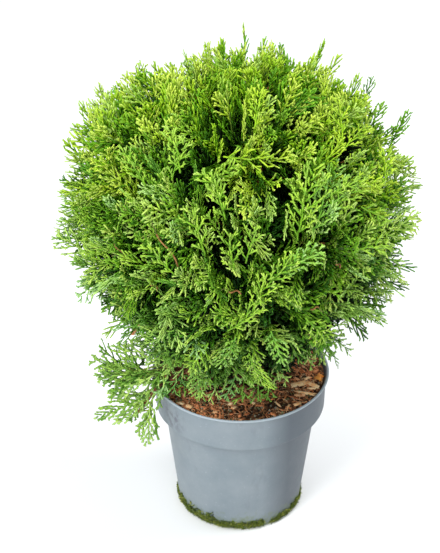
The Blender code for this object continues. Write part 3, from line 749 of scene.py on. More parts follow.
crown = {
    "centre": Vector((-0.005, 0.0, 0.353)),
    "wide": 0.1780,
    "tall": 0.186,
    "shoulderPower": 2.3,
    "footPower": 1.95,
    "massCount": 24,
    "massDepth": 0.655,
    "firstTurn": 0.17,
    "lowestRise": -0.86,
    "lowSide": Vector((-0.925, -0.38, 0.0)).normalized(),
    "lowCentres": (Vector((-0.109, -0.051, 0.197)), Vector((-0.106, -0.060, 0.154))),
    "lowOuts": (Vector((-0.93, -0.30, 0.12)), Vector((-0.62, -0.28, -0.73))),
    # of the two low boughs: where they leave the trunk, how they rise there and at their tips, their stems
    "lowLeaves": (0.203, 0.181),
    "lowFirstRises": (0.10, 0.16),
    "lowEntryRises": (0.25, -1.3),
    "lowStems": (0.014, 0.004),
    "lowBoughFoot": 0.0030,
}
crownCentre = np.array(crown["centre"])


def trunkCentre(z):
    # a steady lean, share^1.4, with one shallow bow, sin(1.6 pi share) * share
    share = (z - limbs["soilCrownZ"]) / (limbs["trunkTopZ"] - limbs["soilCrownZ"])
    bow = limbs["bow"] * math.sin(math.pi * 1.6 * share) * share
    return Vector((0.0, 0.0, z)) + limbs["lean"] * share ** 1.4 + Vector((bow, -0.6 * bow, 0.0))


def trunkRadius(z):
    # taper by share^0.85, and a root flare that dies away as exp(-height / flare height)
    height = z - limbs["soilCrownZ"]
    share = height / (limbs["trunkTopZ"] - limbs["soilCrownZ"])
    taper = limbs["trunkFoot"] + (limbs["trunkTip"] - limbs["trunkFoot"]) * share ** 0.85
    return taper + limbs["flare"] * math.exp(-height / limbs["flareHeight"])


def crownReach(ways):
    # superellipsoid: ((across / wide)^p + (|up| / tall)^p)^(-1/p), one power above the middle, one below
    power = np.where(ways[..., 2] > 0.0, crown["shoulderPower"], crown["footPower"])
    across = np.hypot(ways[..., 0], ways[..., 1]) / crown["wide"]
    return (across ** power + (np.abs(ways[..., 2]) / crown["tall"]) ** power) ** (-1.0 / power)


def layOutMasses():
    # masses spaced by the golden angle over the crown, then the two on the low branch
    rng = np.random.default_rng(limbs["seed"])
    golden = math.pi * (3.0 - math.sqrt(5.0))
    lowZ, highZ, lowest = limbs["boughLowZ"], limbs["boughHighZ"], crown["lowestRise"]
    rows = []
    for i in range(crown["massCount"]):
        rise = 1.0 - (1.0 - lowest) * (i + 0.35) / (crown["massCount"] - 0.3)
        level = math.sqrt(max(0.0, 1.0 - rise * rise))
        angle = golden * i + crown["firstTurn"] + rng.uniform(-0.08, 0.08)
        way = Vector((level * math.cos(angle), level * math.sin(angle), rise)).normalized()
        depth = float(crownReach(np.array(way))) * crown["massDepth"] * rng.uniform(0.97, 1.03)
        centre = crown["centre"] + way * depth
        lowShare = (rise - lowest) / (1.0 - lowest)
        leaves = lowZ + (highZ - lowZ) * lowShare ** 1.15 + rng.uniform(-0.003, 0.003)
        entry = (centre - trunkCentre(leaves) + Vector((0.0, 0.0, 0.02))).normalized()
        rows.append({
            "node": f"foliage_{i + 1:02d}" if i else "foliage_top", "centre": centre, "out": way,
            "leavesTrunkZ": leaves, "entry": entry, "entryLength": limbs["coreRadius"] + limbs["stemShows"],
            "firstRise": 0.45, "boughRadius": limbs["boughFoot"] - 0.0014 * lowShare,
        })
    for i, (centre, out) in enumerate(zip(crown["lowCentres"], crown["lowOuts"])):
        side = crown["lowSide"]
        rows.append({
            "node": f"foliage_low_{i + 1}", "centre": centre, "out": out.normalized(),
            "leavesTrunkZ": crown["lowLeaves"][i], "boughRadius": crown["lowBoughFoot"],
            "firstRise": crown["lowFirstRises"][i],
            "entry": Vector((side.x, side.y, crown["lowEntryRises"][i])).normalized(),
            "entryLength": limbs["lowCoreRadius"] + crown["lowStems"][i],
        })
    return rows


def boughBends(mass):
    # leaves the trunk's side, sweeps up or out, and stops short of its mass
    height = mass["leavesTrunkZ"]
    axis = trunkCentre(height)
    tip = mass["centre"] - mass["entry"] * mass["entryLength"]
    level = Vector((tip.x - axis.x, tip.y - axis.y, 0.0)).normalized()
    first = (level + Vector((0.0, 0.0, mass["firstRise"]))).normalized()
    start = axis + level * (trunkRadius(height) + mass["boughRadius"] * first.z + limbs["clearance"])
    reach = (tip - start).length * limbs["sweep"]
    return [np.array(p) for p in (start, start + first * reach, tip - mass["entry"] * reach, tip)]


def limbSamples(points, radii):
    # points a few millimetres apart along a limb of straight runs, with the limb's radius there
    places, sizes = [], []
    for a, b, radiusA, radiusB in zip(points, points[1:], radii, radii[1:]):
        t = np.linspace(0.0, 1.0, max(2, int(np.linalg.norm(b - a) / limbs["sampleStep"])))[:, None]
        places.append(a + (b - a) * t)
        sizes.append(radiusA + (radiusB - radiusA) * t[:, 0])
    return np.concatenate(places), np.concatenate(sizes)


def settleBough(mass, laid):
    # slides the bough's foot up or down the trunk in small steps until it is clear of the boughs before it
    height = mass["leavesTrunkZ"]
    count = limbs["boughPoints"]
    taper = (np.arange(count) / (count - 1)) ** 0.8
    radii = mass["boughRadius"] + (limbs["boughTip"] - mass["boughRadius"]) * taper
    for step in range(24):
        slide = limbs["slide"] * ((step + 1) // 2) * (1 if step % 2 else -1)
        mass["leavesTrunkZ"] = max(limbs["boughLowZ"] - 0.002, height + slide)
        mass["bends"] = boughBends(mass)
        places, sizes = limbSamples(bezier(*mass["bends"], count), radii)
        room = [np.linalg.norm(places[:, None] - other[None], axis=2) - sizes[:, None] - otherSizes[None]
                for other, otherSizes in laid]
        if all((gap >= limbs["boughMargin"]).all() for gap in room):
            break
    laid.append((places, sizes))


masses = layOutMasses()
laidBoughs = []
for mass in masses[:0:-1]:
    settleBough(mass, laidBoughs)
massWays = np.array([tuple(mass["out"]) for mass in masses[:crown["massCount"]]])

bark = {
    "trunkSides": 30,
    "trunkRings": 110,
    "boughSides": 12,
    "boughRings": 34,
    "ridge": 0.10,              # depth of the bark's ridges as a share of the limb's radius
    "trunkGrain": 0.012,        # length of a ridge on the trunk, and how many ridges there are round it
    "trunkGirth": 2.6,
    "boughGrain": 9.0,          # ridges along a bough, and round it
    "boughGirth": 1.9,
    "footRings": 30,            # rings in the flared foot, and its height
    "footHeight": 0.03,
    "colours": ((58, 36, 24), (104, 66, 44), (142, 98, 70)),
}


def barkRelief(sides, lengthwise, girth, seed):
    # ridges that run along the limb: noise on (q cos a, q sin a, s), with q large beside the step along s
    angles = np.arange(sides) * math.tau / sides
    place = np.stack(np.broadcast_arrays(
        girth * np.cos(angles)[None], girth * np.sin(angles)[None], lengthwise[:, None]), -1)
    coarse = softNoise(place, 1.0, seed)
    fine = softNoise(place * 2.3, 1.0, seed + 1)
    return coarse * 0.65 + fine * 0.35


def barkMaterial():
    # strips drawn out along the limbs, dark in the cracks
    material, nodes, links, shader, places = newMaterial("thujaBark", 0.88, 0.25)
    strips = noiseOf(nodes, links, places, 240.0, 4.0, 0.6, (1.0, 1.0, 0.16))
    dark, middle, pale = (fromSrgb(*colour) for colour in bark["colours"])
    links.new(rampOf(nodes, links, strips, [(0.34, dark), (0.52, middle), (0.68, pale)]),
              shader.inputs["Base Color"])
    bumpOf(nodes, links, shader, noiseOf(nodes, links, places, 700.0, 3.0, 0.6, (1.0, 1.0, 0.2)), 0.0004)
    return material


def buildBark():
    # limb radius times (1 - ridge + ridge * relief), swept along the trunk and every bough
    material = barkMaterial()
    tall = limbs["trunkTopZ"] - limbs["soilCrownZ"] - limbs["clearance"]
    heights = limbs["soilCrownZ"] + limbs["clearance"] + np.concatenate([
        np.linspace(0.0, bark["footHeight"], bark["footRings"], endpoint=False),
        np.linspace(bark["footHeight"], tall, bark["trunkRings"] - bark["footRings"]),
    ])
    path = np.array([tuple(trunkCentre(z)) for z in heights])
    relief = barkRelief(bark["trunkSides"], heights / bark["trunkGrain"], bark["trunkGirth"], 51)
    radii = np.array([trunkRadius(z) for z in heights])[:, None]
    radii = radii * (1.0 - bark["ridge"] + bark["ridge"] * relief)
    points, faces = sweepLimbs(path[None], radii[None], bark["trunkSides"], np.array([[0.0, 1.0, 0.0]]))
    standFor(addMesh("trunkBark", points, faces, material, smooth=True), "bark", "trunk")

    withBough = masses[1:]
    paths, radii, across = [], [], []
    for i, mass in enumerate(withBough):
        path = bezier(*mass["bends"], bark["boughRings"])
        share = np.linspace(0.0, 1.0, bark["boughRings"])
        size = mass["boughRadius"] + (limbs["boughTip"] - mass["boughRadius"]) * share ** 0.8
        lengthwise = share * bark["boughGrain"] + i * 17.0
        relief = barkRelief(bark["boughSides"], lengthwise, bark["boughGirth"], 61)
        paths.append(path)
        radii.append(size[:, None] * (1.0 - bark["ridge"] + bark["ridge"] * relief))
        run = path[-1] - path[0]
        across.append((-run[1], run[0], 0.0))
    points, faces = sweepLimbs(np.array(paths), np.array(radii), bark["boughSides"], unit(np.array(across)))
    nodes = [mass["node"].replace("foliage", "bough") for mass in withBough]
    standFor(addMesh("boughBark", points, faces, material, smooth=True), "bark", *nodes)


buildBark()
print("trunk and boughs barked")


# shoots: twigs that leave the boughs inside the crown and carry on to its surface

shoots = {
    "seed": 43,
    "count": 420,
    "lowestWay": -0.93,
    "endShare": (0.70, 0.86),   # where a shoot ends, as a share of the leaves' reach
    "points": 14,
    "footRadius": 0.0012,
    "tipRadius": 0.0006,
    "sides": 5,
    "rimGap": 0.004,            # foliage keeps this far off the pot
    "boughPart": (30, 18),      # points along a bough, and how many of them, from its tip, bear shoots
    "stemPart": 22,             # points along the stem from the bough's tip to the mass's centre
    "topFrom": 0.40,            # height on the trunk from which the top mass's shoots start
    "lowFrom": -0.25,           # shoots that point further down than this are lifted less
    "lift": (0.15, 0.75),
    "lowLift": (-0.22, 0.16),
    "bends": (0.35, 0.42),      # how far a shoot keeps its first way, and its last, as shares of its length
    "brown": ((70, 42, 22), (120, 74, 40), (186, 120, 66)),
    "green": ((58, 84, 22), (104, 132, 40), (150, 158, 66)),
}

fullness = {
    # how far the leaves fill the crown's reach: everywhere, by chance, and where it swells or falls back
    "share": 0.925,
    "noise": 0.022,
    "noiseSize": 0.55,
    "outlineDepth": 34.0,
    # round the outline seen from the front: turn from the right in degrees, width in degrees, amount
    "outline": (
        (-25.0, 34.0, 0.080), (-41.0, 7.0, -0.050), (-3.0, 9.0, 0.030), (14.0, 20.0, 0.050),
        (14.0, 6.0, 0.040), (25.0, 5.0, -0.040), (38.0, 10.0, 0.010), (56.0, 6.0, -0.040),
        (68.0, 5.0, -0.065), (88.0, 10.0, -0.035), (101.0, 5.0, -0.030), (113.0, 8.0, -0.110),
        (146.0, 22.0, 0.055), (182.0, 6.0, 0.035), (185.0, 18.0, 0.025), (201.0, 5.0, 0.020),
        (212.0, 14.0, 0.010),
    ),
    # elsewhere: way, width in degrees, amount
    "hollows": (
        (Vector((0.36, -0.34, -0.87)), 10.0, -0.14), (Vector((-0.30, 0.60, 0.45)), 16.0, -0.05),
        (Vector((0.55, 0.55, 0.10)), 18.0, 0.03), (Vector((-0.10, -0.50, -0.85)), 22.0, 0.05),
    ),
}

fans = {
    "places": (0.32, 0.45, 0.57, 0.68, 0.79, 0.90, 1.0),    # along a shoot
    # turn away from the shoot, near the limb, further out and at the shoot's end, times a chance
    "leanInner": math.radians(54.0),
    "leanOuter": math.radians(26.0),
    "leanEnd": 0.06,
    "leanChance": (0.7, 1.25),
    "shortest": 0.020,
    "longest": 0.051,
    "steps": 25,                # lengths tried between the two
    "over": (0.93, 1.04),       # share of the leaves' reach that a fan ends at
    "deepShare": (0.70, 1.0),   # share of the longest for a fan that ends short of it
    "sizes": (0.024, 0.037, 0.050, 0.070),      # lengths that the patterns are drawn at
    "variants": 5,
    # kinds of pattern: a branchlet's turn at the foot and at the tip, its reach as a share of the rib, the
    # way from one branchlet to the next, from lobe to lobe, the chance of a lobe, and a lobe's lengths
    "habits": {
        "open": (46.0, 31.0, 0.44, 0.0043, 0.0038, 0.66, (0.0036, 0.0060)),
        "upright": (34.0, 22.0, 0.52, 0.0044, 0.0040, 0.40, (0.0038, 0.0064)),
        "flat": (47.0, 34.0, 0.38, 0.0041, 0.0034, 0.86, (0.0032, 0.0052)),
    },
    "paleLobes": 0.45,
    "flake": 0.0074,            # length of one flake of a branchlet, how far it laps the next, and its taper
    "lap": 1.14,
    "taper": 0.88,
    "arch": 0.10,               # a branchlet's turn from flake to flake
    "strand": 0.00178,          # width of a branchlet
    "innerPlaces": (0.04, 0.15, 0.26, 0.38),
    "innerLengths": (0.030, 0.046),
    "innerLimit": 0.84,         # share of the leaves' reach past which no inner fan may end
    "innerStrand": 0.0042,
    "innerBranchlets": 9,
}

leaders = {
    "lengths": (0.038, 0.052),
    "lift": (0.50, 0.12),       # upward part of the way, high on the crown and lower down
    "spread": (0.48, 0.75),     # slender at the very top
    # where each ends on the outline seen from the front: across and up from the crown's centre
    "tips": (
        (0.0118, 0.1900), (0.0068, 0.1764), (0.0254, 0.1764), (-0.0165, 0.1750), (0.0486, 0.1694),
        (0.0860, 0.1750), (-0.0488, 0.1624), (-0.0326, 0.1707), (-0.0122, 0.1734), (0.0374, 0.1694),
        (0.0598, 0.1544), (0.0740, 0.1600), (0.1000, 0.1610), (0.1230, 0.1390), (0.1380, 0.1370),
        (0.1470, 0.1110), (0.1710, 0.1030), (0.1630, 0.0900), (0.1750, 0.0570), (0.1820, 0.0300),
        (0.1770, -0.0070), (0.1780, -0.0500), (0.1690, -0.0770), (0.1500, -0.1040), (0.1310, -0.1210),
        (-0.0800, 0.1520), (-0.0970, 0.1460), (-0.0660, 0.1500), (-0.1160, 0.1340), (-0.1380, 0.1250),
        (-0.1570, 0.1120), (-0.1620, 0.0930), (-0.1720, 0.0730), (-0.1750, 0.0350), (-0.1780, 0.0190),
        (-0.1760, 0.0070), (-0.1780, -0.0220), (-0.1630, -0.0440), (-0.1550, -0.0690), (-0.1350, -0.0950),
        (-0.1350, -0.1150),
    ),
}

# dark gaps among the sprays on the crown's front: across and up from its centre, and how wide
clearings = (
    (0.067, 0.104, 0.008), (0.069, 0.086, 0.008), (0.102, 0.055, 0.010), (0.121, 0.060, 0.009),
    (0.131, 0.077, 0.008), (0.121, 0.045, 0.009), (0.110, 0.014, 0.009), (0.138, 0.001, 0.010),
    (0.091, 0.001, 0.009), (0.146, 0.036, 0.008), (0.118, -0.034, 0.009), (0.140, -0.048, 0.008),
)
clearingDepth = 0.02            # how far in front of the crown's centre they end

shownTwigs = {
    # foot across and up, tip across and up, from the crown's centre, seen from the front
    "places": (
        (-0.055, -0.053, -0.086, -0.004), (-0.105, -0.047, -0.120, -0.022),
        (-0.100, -0.047, -0.117, -0.043), (-0.075, -0.075, -0.083, -0.065),
        (0.002, -0.078, -0.016, -0.074), (0.094, -0.054, 0.087, -0.048), (0.067, -0.092, 0.080, -0.093),
        (0.076, -0.126, 0.064, -0.116),
    ),
    "radii": (0.0009, 0.0005),
    "points": 11,
    "split": 6,                 # the point where brown bark gives way to green
    "bend": 0.003,
    "stub": ((-0.098, -0.048, 0.264), (-0.110, -0.062, 0.251)),
    "stubRadius": 0.0022,
    "crook": 0.0016,
    "colours": ((96, 62, 34), (146, 98, 54), (184, 136, 84)),
    "tipColours": ((60, 76, 28), (94, 106, 42), (132, 130, 60)),
    "cut": ((206, 128, 80), (240, 178, 130)),
}

# bright sprays on the crown's front: foot across and up, tip across and up, from the crown's centre
frontSprays = (
    (-0.014, 0.044, 0.026, 0.036), (0.052, -0.030, 0.064, 0.040), (0.066, -0.026, 0.088, 0.042),
    (0.078, -0.010, 0.110, 0.030), (0.036, -0.060, 0.072, -0.034), (0.020, -0.075, 0.052, -0.048),
    (-0.030, -0.042, -0.046, -0.006), (-0.058, -0.060, -0.084, -0.036), (-0.012, -0.012, -0.022, 0.022),
    (-0.084, 0.020, -0.106, 0.058), (-0.052, 0.030, -0.060, 0.072), (0.014, 0.070, 0.020, 0.112),
    (0.094, 0.052, 0.122, 0.086), (0.104, -0.040, 0.140, -0.022), (0.062, -0.100, 0.092, -0.126),
    (0.030, -0.112, 0.042, -0.146), (-0.002, -0.118, -0.012, -0.152), (-0.028, -0.124, -0.048, -0.156),
    (-0.060, -0.112, -0.088, -0.134), (0.010, -0.134, 0.020, -0.172), (-0.040, -0.150, -0.034, -0.182),
    (0.010, -0.100, 0.025, -0.066), (-0.010, -0.112, 0.016, -0.098), (-0.004, -0.056, -0.012, -0.026),
    (0.006, -0.050, 0.014, -0.018), (-0.060, 0.024, -0.052, 0.058), (-0.010, 0.006, -0.034, 0.030),
    (0.095, 0.060, 0.092, 0.100), (0.136, 0.022, 0.140, 0.056), (0.102, 0.026, 0.134, 0.024),
    (0.112, 0.002, 0.146, -0.014), (0.084, 0.012, 0.106, 0.026),
)

lowBranch = {
    # sprays of the low branch, seen from the front: foot and tip (across, up) from its mass's centre, spread
    "first": (
        ((0.020, 0.001), (-0.035, -0.002), 0.9), ((0.004, 0.004), (-0.019, 0.029), 0.9),
        ((-0.006, 0.004), (-0.043, 0.011), 0.8), ((0.012, 0.002), (-0.034, -0.006), 0.7),
        ((0.012, 0.000), (-0.025, -0.018), 0.7), ((0.020, -0.002), (-0.013, -0.022), 0.7),
        ((0.026, 0.008), (-0.003, 0.031), 0.8), ((0.034, 0.010), (0.014, 0.038), 0.9),
        ((0.030, 0.004), (0.018, -0.014), 0.9), ((0.034, -0.002), (0.028, -0.026), 0.9),
    ),
    "second": (
        ((0.012, 0.018), (-0.042, -0.008), 0.75), ((0.013, 0.015), (-0.019, -0.013), 0.6),
        ((0.012, 0.010), (0.014, -0.033), 0.7), ((0.014, 0.006), (0.003, -0.023), 0.7),
        ((0.016, 0.002), (0.022, -0.027), 0.45), ((0.012, 0.019), (-0.025, 0.015), 0.45),
        ((0.024, 0.024), (0.022, 0.004), 0.9), ((0.016, 0.034), (0.003, 0.011), 0.8),
        ((0.027, 0.033), (0.013, 0.010), 0.8), ((0.032, 0.034), (0.020, 0.014), 0.8),
        ((0.018, 0.030), (-0.002, -0.001), 0.8),
    ),
    "layers": (2, 1),           # how many times each mass's sprays are drawn, one behind the other
    "behind": 3,                # further sprays on the side away from the front, and their lengths
    "behindLengths": (0.022, 0.032),
}

# sprays that hang over the soil and the pot's rim, and some that join the low branch to the crown:
# x, y, z of the foot and of the way's end
skirtSprays = (
    (-0.046, -0.070, 0.210, -0.067, -0.068, 0.176), (-0.037, -0.074, 0.206, -0.050, -0.080, 0.178),
    (-0.023, -0.078, 0.206, -0.034, -0.084, 0.176), (-0.005, -0.080, 0.217, -0.015, -0.086, 0.180),
    (0.003, -0.080, 0.212, 0.001, -0.086, 0.175), (0.017, -0.078, 0.216, 0.017, -0.084, 0.177),
    (0.027, -0.076, 0.217, 0.030, -0.082, 0.174), (0.037, -0.070, 0.217, 0.050, -0.072, 0.194),
    (-0.052, -0.066, 0.222, -0.074, -0.072, 0.196), (-0.062, -0.060, 0.230, -0.084, -0.072, 0.202),
    (-0.041, -0.070, 0.237, -0.055, -0.082, 0.208), (-0.070, -0.050, 0.231, -0.100, -0.062, 0.226),
    (-0.077, -0.050, 0.238, -0.114, -0.055, 0.236), (-0.075, -0.050, 0.221, -0.105, -0.058, 0.209),
    (-0.066, -0.056, 0.213, -0.093, -0.066, 0.188), (0.081, -0.030, 0.216, 0.108, -0.030, 0.195),
    (0.088, -0.020, 0.222, 0.122, -0.022, 0.200), (0.070, -0.045, 0.226, 0.091, -0.050, 0.206),
    (0.060, -0.055, 0.229, 0.076, -0.064, 0.206), (-0.030, -0.070, 0.226, -0.040, -0.082, 0.196),
    (0.010, -0.072, 0.232, 0.006, -0.086, 0.198), (-0.014, -0.074, 0.228, -0.024, -0.086, 0.198),
    (0.034, -0.068, 0.232, 0.040, -0.082, 0.200), (-0.080, -0.040, 0.226, -0.104, -0.046, 0.206),
    (-0.074, -0.046, 0.210, -0.098, -0.052, 0.190), (-0.060, -0.062, 0.206, -0.076, -0.078, 0.178),
)
skirtShare = 0.80               # how much of its way each one grows

underside = {
    "count": 200,
    "radius": (0.018, 0.056),
    "height": (0.203, 0.236),
    "lengths": (0.022, 0.034),
    "droop": 0.35,
}

# right, up and towards the eye, seen from the front and a little above
viewRight = np.array([1.0, 0.0, 0.0])
viewUp = np.array([0.0, 0.515, 0.857])
viewBack = np.array([0.0, -0.857, 0.515])


def acrossView(spots):
    # from across and up, seen from the front, to x, y, z
    return viewRight * spots[..., :1] + viewUp * spots[..., 1:]


def leafReach(ways):
    # the crown's reach times its fullness; a swell fades as exp(-(angle / width)^2), and those of the
    # outline fade with the turn seen from the front and, more slowly, with the angle towards the eye
    share = fullness["share"] + fullness["noise"] * softNoise(ways, fullness["noiseSize"], 81)
    turn = np.degrees(np.arctan2(ways @ viewUp, ways @ viewRight))
    off = np.degrees(np.arcsin(np.clip(ways @ viewBack, -1.0, 1.0)))
    for middle, width, amount in fullness["outline"]:
        apart = (turn - middle + 180.0) % 360.0 - 180.0
        depth = max(width, fullness["outlineDepth"])
        share = share + amount * np.exp(-(apart / width) ** 2 - (off / depth) ** 2)
    for middle, width, amount in fullness["hollows"]:
        angle = np.degrees(np.arccos(np.clip(ways @ unit(np.array(middle)), -1.0, 1.0)))
        share = share + amount * np.exp(-(angle / width) ** 2)
    return crownReach(ways) * share


def spreadWays(count, lowest, rng):
    # even over the crown: rise falls by equal steps while the turn grows by the golden angle
    rise = 1.0 - (1.0 - lowest) * (np.arange(count) + 0.5) / count
    turn = np.arange(count) * math.pi * (3.0 - math.sqrt(5.0)) + rng.uniform(-0.12, 0.12, count)
    level = np.sqrt(1.0 - rise ** 2)
    return np.stack([level * np.cos(turn), level * np.sin(turn), rise], -1)


def limbLines():
    # each mass's bough from its middle to its tip and on to the mass's centre, as a row of points
    boughCount, bearing = shoots["boughPart"]
    lines = []
    for i, mass in enumerate(masses):
        centre = np.array(mass["centre"])
        if i:
            bough = bezier(*mass["bends"], boughCount)[-bearing:]
        else:
            heights = np.linspace(shoots["topFrom"], limbs["trunkTopZ"], bearing)
            bough = np.array([tuple(trunkCentre(z)) for z in heights])
        stem = bough[-1] + (centre - bough[-1]) * np.linspace(0.0, 1.0, shoots["stemPart"] + 1)[1:, None]
        lines.append(np.concatenate([bough, stem]))
    return np.array(lines)


def nearestMass(ways):
    # the number of the crown's mass whose own way lies nearest to each way
    return np.argmax(ways @ massWays.T, axis=1)


def growCrownShoots(rng):
    # each shoot leaves its mass's limb, swings out, and arrives along its own way with a lift
    ways = spreadWays(shoots["count"], shoots["lowestWay"], rng)
    owner = nearestMass(ways)
    count = len(ways)
    lines = limbLines()
    at = ((lines.shape[1] - 1) * rng.uniform(0.10, 1.0, count)).astype(int)
    starts = lines[owner, at]
    ends = crownCentre + ways * (leafReach(ways) * rng.uniform(*shoots["endShare"], count))[:, None]
    rise = ways[:, 2]
    lift = np.where(rise > shoots["lowFrom"], rng.uniform(*shoots["lift"], count),
                    rng.uniform(*shoots["lowLift"], count))
    sideways = np.cross(ways, rng.normal(0.0, 1.0, (count, 3)))
    arrive = ways * (0.38 + 0.30 * np.maximum(0.0, rise))[:, None] + sideways * 0.38
    arrive[:, 2] += lift
    arrive = unit(arrive)
    reach = np.linalg.norm(ends - starts, axis=1)[:, None]
    leave = unit(massWays[owner] * 0.5 + unit(ends - starts))
    first, last = shoots["bends"]
    bendA, bendB = starts + leave * reach * first, ends - arrive * reach * last
    return bezier(starts, bendA, bendB, ends, shoots["points"]), owner, ways


def fanTemplate(length, habit, rng):
    # a rib, branchlets to either side in turn, and short lobes to either side of each branchlet
    feet, turns, reaches, widths, tones = [], [], [], [], []

    def addStrand(foot, turn, reach, bow, width, tone):
        # overlapping flakes along an arc, the outer part a tone lighter
        count = max(1, round(reach / fans["flake"]))
        step = reach / count
        for i in range(count):
            ending = i == count - 1
            feet.append(foot)
            turns.append(turn + rng.normal(0.0, 0.06))
            reaches.append(step * (1.0 if ending else fans["lap"]))
            widths.append((width, width * fans["taper"]))
            tones.append(tone + (i + 1 > count * 0.55))
            foot = foot + step * np.array([math.cos(turn), math.sin(turn)])
            turn += bow

    wide, narrow, reachShare, pitch, lobePitch, lobeChance, lobe = fans["habits"][habit]
    addStrand(np.zeros(2), 0.0, length, rng.normal(0.0, 0.02), 1.05, 0)
    count = int((length - 0.005) / pitch)
    hand = rng.choice([-1.0, 1.0])
    for i in range(count):
        share = (i + 0.8) / (count + 0.6)
        side = hand * (1.0 if i % 2 else -1.0)
        turn = side * math.radians(wide + (narrow - wide) * share + rng.normal(0.0, 4.0))
        reach = reachShare * length * math.sin(math.pi * (0.20 + 0.64 * share)) * rng.uniform(0.78, 1.15)
        reach = max(0.0045, min(reach, 0.72 * length * (1.0 - share) + 0.004))
        foot = np.array([share * length, 0.0])
        bow = -side * fans["arch"]
        addStrand(foot, turn, reach, bow, 1.0, 0)
        for number in range(int(reach / lobePitch)):
            way = side if number % 2 else -side
            if rng.uniform() > lobeChance:
                continue
            # a lobe stands on its branchlet, foot + way * s, with the way turned by half the bow so far
            along = lobePitch * (number + 0.85)
            heading = turn + bow * along / fans["flake"] * 0.5
            feet.append(foot + along * np.array([math.cos(heading), math.sin(heading)]))
            turns.append(heading + way * math.radians(rng.uniform(28.0, 42.0)))
            reaches.append(rng.uniform(*lobe) * (1.12 - 0.40 * along / reach))
            widths.append((0.95, 0.85))
            tones.append(1 + (rng.uniform() < fans["paleLobes"] * share))
    shapes = flakeShapes(np.array(feet) / length, np.array(turns), np.array(reaches) / length,
                         np.array(widths), 0.12, rng)
    return shapes, np.array(tones)


def innerTemplate(rng):
    # the leaves inside, dark with painted shade: a rib and plain branchlets to either side in turn
    count = fans["innerBranchlets"]
    share = np.linspace(0.08, 0.86, count)
    side = np.where(np.arange(count) % 2, 1.0, -1.0)
    feet = np.stack([np.concatenate([[0.0], share]), np.zeros(count + 1)], -1)
    turns = np.concatenate([[0.0], side * np.radians(52.0 - 14.0 * share)])
    reach = np.minimum(0.46, 0.20 + 0.7 * (1.0 - share)) * rng.uniform(0.8, 1.1, count)
    widths = np.full((count + 1, 2), (0.9, 0.5))
    shapes = flakeShapes(feet, turns, np.concatenate([[1.0], reach]), widths, 0.3, rng)
    return shapes, np.zeros(count + 1, int)


def barRing(across, up):
    # three corners of a bar for a strand one wide: left, right and crest
    return np.stack([across * 0.5 - up * 0.14, -across * 0.5 - up * 0.14, up * 0.34], 1)


def flakeShapes(feet, turns, reaches, widths, tiltRange, rng):
    # a flake is a three-sided bar: left, right and crest at its foot, and the same at its blunt tip
    tilt = rng.normal(0.0, tiltRange, len(feet))
    way = np.stack([np.cos(turns) * np.cos(tilt), np.sin(turns) * np.cos(tilt), np.sin(tilt)], -1)
    across = np.stack([-np.sin(turns), np.cos(turns), np.zeros(len(turns))], -1)
    up = np.cross(way, across)
    base = np.concatenate([feet, np.zeros((len(feet), 1))], -1)
    tip = base + way * reaches[:, None]
    spine = np.stack([base, base, base, tip, tip, tip], 1)
    ring = barRing(across, up)
    return spine, np.concatenate([ring * widths[:, :1, None], ring * widths[:, 1:, None]], 1)


def flakeFaces(count):
    # three sides and two ends of each bar
    sides = np.array([(0, 2, 5, 3), (2, 1, 4, 5), (1, 0, 3, 4)])
    ends = np.array([(3, 5, 4), (0, 1, 2)])
    shift = (np.arange(count) * 6)[:, None, None]
    return [(sides[None] + shift).reshape(-1, 4), (ends[None] + shift).reshape(-1, 3)]


def fanFrames(ways, normals):
    # columns: the fan's way, its side, and its normal made square to the way
    z = unit(normals - ways * np.sum(normals * ways, -1, keepdims=True))
    return np.stack([ways, np.cross(z, ways), z], -1)


def growFans(table, templates):
    # each flake's point = root + frame (length * spine + strand * skin), bent by curl x^2 and sway x^2
    frames = fanFrames(table["ways"], table["normals"])
    lengths = table["lengths"]
    flakes, fanOf, toneOf = [], [], []
    for number, ((spine, skin), tones) in enumerate(templates):
        chosen = np.nonzero(table["pick"] == number)[0]
        if not len(chosen):
            continue
        local = spine[None] * lengths[chosen][:, None, None, None]
        local[..., 1] *= table["spread"][chosen][:, None, None]
        local = local + skin[None] * table["strands"][chosen][:, None, None, None]
        x = local[..., 0] / lengths[chosen][:, None, None]
        local[..., 2] -= (table["curl"][chosen] * lengths[chosen])[:, None, None] * x * x
        local[..., 1] += (table["sway"][chosen] * lengths[chosen])[:, None, None] * x * x
        world = np.einsum("fij,fevj->fevi", frames[chosen], local) + table["roots"][chosen][:, None, None]
        flakes.append(world.reshape(-1, 6, 3))
        fanOf.append(np.repeat(chosen, len(tones)))
        toneOf.append(np.tile(tones, len(chosen)))
    return np.concatenate(flakes), np.concatenate(fanOf), np.concatenate(toneOf)


def reachLengths(roots, ways, rng):
    # the length that takes a fan's tip to the leaves' reach, found by steps along its way
    steps = np.linspace(fans["shortest"], fans["longest"], fans["steps"])
    tips = roots[:, None] + ways[:, None] * steps[:, None] - crownCentre
    limit = leafReach(unit(tips)) * rng.uniform(*fans["over"], len(roots))[:, None]
    inside = np.linalg.norm(tips, axis=-1) < limit
    last = np.maximum(inside.sum(axis=1) - 1, 0)
    lengths = steps[last]
    deep = inside.all(axis=1)
    return np.where(deep, lengths * rng.uniform(*fans["deepShare"], len(roots)), lengths)


def clearOfPot(points):
    # true where a point is above the soil inside the rim, or outside the pot's wall
    away = np.hypot(points[..., 0], points[..., 1])
    gap = shoots["rimGap"]
    above = points[..., 2] > potHeight + gap
    beside = away > rimRadius + gap
    return above | beside


def pointsOnShoots(paths, share):
    # place and way at a share of each shoot
    along = unit(np.gradient(paths, axis=1))
    last = paths.shape[1] - 1
    low = min(int(share * last), last - 1)
    part = share * last - low
    place = paths[:, low] * (1.0 - part) + paths[:, low + 1] * part
    return place, unit(along[:, low] * (1.0 - part) + along[:, low + 1] * part)


